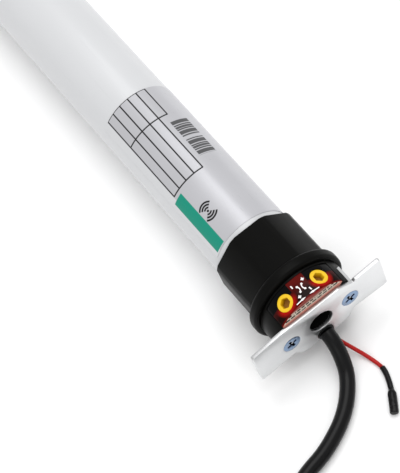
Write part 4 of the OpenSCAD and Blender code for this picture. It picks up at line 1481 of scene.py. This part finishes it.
@dataclass
class Aerial:
    """The red aerial wire with its black sleeve and end cap."""

    diameter: float = 1.7
    sleeve_diameter: float = 2.3
    cap_diameter: float = 3.6
    wire: tuple[Point, ...] = (
        (0.4, 1.6, -14.1),
        (4.5, 2.7, -15.2),
        (9.0, 4.7, -17.4),
        (14.0, 6.9, -19.8),
        (18.5, 8.2, -20.6),
        (22.0, 8.7, -20.5),
    )
    sleeve: tuple[Point, ...] = (
        (22.4, 8.7, -20.3),
        (25.0, 8.3, -20.3),
        (28.5, 7.1, -20.3),
        (32.0, 5.5, -20.2),
    )
    cap: tuple[Point, ...] = (
        (34.0, 4.4, -19.8),
        (37.0, 2.6, -19.7),
        (39.2, 1.2, -19.7),
        (41.0, 0.0, -19.7),
    )
    wire_steps: int = 3
    sleeve_steps: int = 6
    sides: int = 4
    cap_narrowing: float = 0.86
    cap_end: float = 0.6
    cap_edge: float = 0.1
    cap_crease: float = 30.0
    dish: tuple[Spot, ...] = ((0.42, -0.25), (0.4, 0.3))

    def build_sleeve(self) -> bpy.types.Object:
        """Makes the sleeve, which swells into the end cap.

        Returns:
            The sleeve.
        """
        steps = self.sleeve_steps
        line = smooth_route((*self.sleeve, *self.cap), steps)
        swell = (len(self.sleeve) - 1) * steps
        piece = cord_curve("aerial_sleeve_and_cap", line, self.sleeve_diameter, self.sides)
        wide = self.cap_diameter / self.sleeve_diameter
        knots = piece.data.splines[0].points
        for number, knot in enumerate(knots):
            share = max(0.0, min(1.0, (number - swell) / steps))
            knot.radius = 1 + (wide - 1) * share * share * (3 - 2 * share)
        knots[-1].radius = wide * self.cap_narrowing
        pick(piece)
        bpy.ops.object.convert(target="MESH")
        piece = bpy.context.view_layer.objects.active
        end, before = Vector(line[-1]), Vector(line[-2])
        way = (end - before).normalized()
        bpy.ops.object.mode_set(mode="EDIT")
        bpy.ops.mesh.select_all(action="SELECT")
        bpy.ops.mesh.remove_doubles(threshold=MERGE_DISTANCE)
        near = self.cap_end
        choose(piece, "FACE", lambda place, normal: (place - end).length < near and normal.dot(way) > ALIGNED)
        for rim, rise in self.dish:
            bpy.ops.mesh.inset(thickness=rim * MM)
            extrude(way * rise)
        pick(piece)
        ease_edges(piece, self.cap_edge, angle=self.cap_crease)
        return settle(piece, RIGID, "black_rubber", SHEATH, "aerial_sleeve")

    def build(self) -> None:
        """Lays the wire, which runs on inside its sleeve to the cap."""
        line = smooth_route((*self.wire, *self.sleeve, *self.cap[:-1]), self.wire_steps)
        sleeve = self.build_sleeve()
        wire = cord_curve("aerial_wire", line, self.diameter, self.sides)
        settle(wire, RIGID, "red_wire", RED_SHEATH, "aerial_lead")


@dataclass(frozen=True)
class Stroke:
    """A printed stroke on the window: places along and round the head, and the stroke's width at each."""

    places: tuple[Spot, ...]
    widths: tuple[float, ...]
    line: ClassVar[float] = 0.42
    bar_line: ClassVar[float] = 0.5

    @classmethod
    def arrow(cls, tail: Spot, tip: Spot) -> Stroke:
        """Gives a straight arrow.

        Args:
            tail: Its tail, in millimetres along and degrees round the head.
            tip: Its tip.

        Returns:
            The stroke.
        """
        shares = (0.0, 0.15, 0.3, 0.45, 0.58, 0.6, 0.8, 1.0)
        head = (0.95, 0.53, 0.12)
        along, around = tip[0] - tail[0], tip[1] - tail[1]
        places = tuple((tail[0] + along * share, tail[1] + around * share) for share in shares)
        return cls(places, (cls.line,) * (len(shares) - len(head)) + head)

    @classmethod
    def bow(cls, *points: Spot) -> Stroke:
        """Gives a curved stroke with an arrow at each end.

        Args:
            *points: The points that it follows.

        Returns:
            The stroke.
        """
        flat = smooth_route([(x, degrees, 0.0) for x, degrees in points], 4)
        places = tuple((x, degrees) for x, degrees, _ in flat)
        head = (0.1, 0.6, 1.0, 0.44)
        return cls(places, head + (cls.line,) * (len(places) - 2 * len(head)) + head[::-1])

    @classmethod
    def bar(cls, start: Spot, end: Spot) -> Stroke:
        """Gives a plain bar."""
        return cls((start, end), (cls.bar_line, cls.bar_line))


@dataclass
class Head:
    """The bracket, the head with its window, the limit adjusters and the gland."""

    parts: tuple[EasedPart, ...] = (
        EasedPart("mounting_bracket", "bracket_sheet", "zinc_sheet", BRACKET_ZINC, 0.16),
        EasedPart("bracket_screws", "bracket_screw_pair", "zinc_screw", BRACKET_SCREW, 0.08),
        EasedPart("head_body", "head_moulding", "black_plastic", BLACK, 0.2),
        EasedPart("adjuster_window", "adjuster_cover", "red_window", WINDOW, 0.1),
        EasedPart("up_adjuster", "up_adjuster_knob", "yellow_plastic", YELLOW, 0.22, 3, "up_adjuster"),
        EasedPart("down_adjuster", "down_adjuster_knob", "yellow_plastic", YELLOW, 0.22, 3, "down_adjuster"),
        EasedPart("cable_gland", "cable_gland_rubber", "black_rubber", SHEATH, 0.12),
    )
    window_radius: float = WINDOW.radius
    print_height: float = 0.05
    print_thickness: float = 0.075
    strokes: tuple[Stroke, ...] = (
        Stroke.arrow((-2.75, 106.6), (-2.75, 93.3)),
        Stroke.arrow((-2.85, 73.4), (-2.75, 87.2)),
        Stroke.bow((-5.4, 94.6), (-6.45, 92.5), (-7.6, 92.1), (-8.8, 94.1)),
        Stroke.bow((-8.7, 85.6), (-7.7, 87.9), (-6.4, 88.0), (-5.4, 85.8)),
        Stroke.bar((-10.4, 98.0), (-9.0, 97.8)),
        Stroke.bar((-5.2, 82.7), (-3.8, 81.9)),
        Stroke.bar((-5.1, 98.1), (-3.7, 98.1)),
        Stroke.bar((-4.4, 96.0), (-4.4, 100.2)),
        Stroke.bar((-10.5, 82.2), (-9.1, 82.2)),
        Stroke.bar((-9.8, 80.1), (-9.8, 84.3)),
    )

    def on_window(self, x: float, degrees: float, height: float) -> Vector:
        """Gives a point over the window's face.

        Args:
            x: The place along the head in millimetres.
            degrees: The place round it.
            height: The height over the face in millimetres.

        Returns:
            The point in metres.
        """
        angle = math.radians(degrees)
        radius = self.window_radius + height
        return Vector((x, radius * math.cos(angle), radius * math.sin(angle))) * MM

    def lay_stroke(self, number: int, stroke: Stroke) -> bpy.types.Object:
        """Lays one printed stroke on the window.

        Args:
            number: The stroke's number.
            stroke: Its places and widths.

        Returns:
            The stroke as a thin raised mesh.
        """
        count = len(stroke.places)
        pick()
        bpy.ops.mesh.primitive_grid_add(x_subdivisions=count - 1, y_subdivisions=2, size=2.0)
        piece = new_piece(f"window_stroke_{number}")
        pick(piece)
        arc = math.radians(1.0) * self.window_radius
        flat = [Vector((x, degrees * arc)) for x, degrees in stroke.places]
        for vertex in piece.data.vertices:
            i = round((vertex.co.x + 1) / 2 * (count - 1))
            way = (flat[min(i + 1, count - 1)] - flat[max(i - 1, 0)]).normalized()
            side = Vector((-way.y, way.x)) * stroke.widths[i] / 2 * vertex.co.y
            spot = flat[i] + side
            vertex.co = self.on_window(spot.x, spot.y / arc, self.print_height)
        bpy.ops.object.mode_set(mode="EDIT")
        bpy.ops.mesh.select_all(action="SELECT")
        bpy.ops.mesh.normals_make_consistent(inside=False)
        pick(piece)
        outward = piece.data.polygons[0].normal.dot(self.on_window(0.0, stroke.places[0][1], 0.0))
        if outward < 0:
            piece.data.flip_normals()
        apply_modifier(piece, "SOLIDIFY", thickness=self.print_thickness * MM, offset=-1.0)
        return piece

    def print_window(self) -> None:
        """Prints the turning arrows and the plain signs on the window."""
        pieces = [self.lay_stroke(number, stroke) for number, stroke in enumerate(self.strokes)]
        pick(*pieces)
        bpy.ops.object.join()
        pieces[0].name = "window_print"
        settle(pieces[0], RIGID, "red_window", INK)

    def build(self) -> None:
        """Dresses the head, and prints its window as soon as it is there."""
        for part in self.parts:
            part.build()
            if part.finish is WINDOW:
                self.print_window()


@dataclass
class Drum:
    """The crown, the painted tube with its label, and the drive end."""

    parts: tuple[EasedPart, ...] = (
        EasedPart("crown", "crown_ring", "black_plastic", BLACK, 0.35, 3, "crown"),
        EasedPart("motor_tube", "painted_tube", "white_tube", TUBE_PAINT, 0.15),
        EasedPart("rating_label", "tube_label", "label_film", LABEL, 0.0),
        EasedPart("tube_screws", "tube_screw_set", "zinc_screw", ZINC_SCREW, 0.08),
        EasedPart("gearbox_end_cap", "gearbox_cap", "grey_plastic", GREY, 0.3),
        EasedPart("drive_wheel", "drive_wheel_moulding", "black_plastic", BLACK, 0.35, 3, "drive"),
        EasedPart("output_shaft", "output_shaft_turned", "bright_steel", BRIGHT_STEEL, 0.2, 2, "drive"),
        EasedPart("drive_wheel_clip", "drive_wheel_retainer", "bright_steel", BRIGHT_STEEL, 0.1, 2, "drive"),
    )

    def build(self) -> None:
        """Dresses the pieces outside the tube."""
        for part in self.parts:
            part.build()


@dataclass
class Works:
    """The pieces inside the tube, which keep their CAD shapes, and the brake's spring."""

    stages: tuple[int, ...] = (1, 2, 3)
    seats: str = "abc"
    spring_seat: float = 0.7

    def finishes(self) -> dict[Finish, tuple[str, ...]]:
        """Gives the nodes that take each finish.

        Returns:
            The nodes' names by finish.
        """
        planets = tuple(f"stage_{stage}_planet_{seat}" for stage in self.stages for seat in self.seats)
        return {
            GREY: ("limit_housing", "limit_end_plate", "electronics_tray"),
            BLACK: ("up_limit_switch", "down_limit_switch"),
            ORANGE: ("limit_traveller",),
            BRIGHT_STEEL: ("guide_rod", "rotor_shaft"),
            BOARD: ("switch_board", "control_board"),
            RELAY: ("relays",),
            TINPLATE: ("radio_module",),
            CAPACITOR: ("run_capacitor",),
            CORE_STEEL: ("stator_core", "rotor_core", "brake_magnet", "brake_armature"),
            ZINC_SHEET: ("rear_end_shield", "front_end_shield"),
            COPPER: ("stator_windings",),
            BRONZE: ("motor_bushes", "output_bush"),
            FRICTION: ("brake_disc",),
            GEAR_STEEL: (
                "ring_gear",
                "input_sun_gear",
                "stage_1_carrier",
                "stage_2_carrier",
                "limit_spindle",
                *planets,
            ),
        }

    def fit_spring(self) -> None:
        """Makes the brake's spring from a copy of its CAD node, and puts its place in its mesh."""
        spring = eased_copy("brake_spring", "brake_spring_coil", 0.0)
        dress_piece(spring, "bright_steel", BRIGHT_STEEL, "brake_spring")
        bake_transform(spring)

    def build(self) -> None:
        """Dresses the pieces inside the tube."""
        for finish, nodes in self.finishes().items():
            for node in nodes:
                dress_node(node, finish)
        self.fit_spring()


def main() -> None:
    """Builds the studio, then the motor from its cords inwards."""
    logging.basicConfig(level=logging.INFO, format="%(name)s: %(message)s")
    for assembly in (Studio(), MainsLead(), Aerial(), Head(), Drum(), Works()):
        assembly.build()
    pick()


if __name__ == "__main__":
    main()
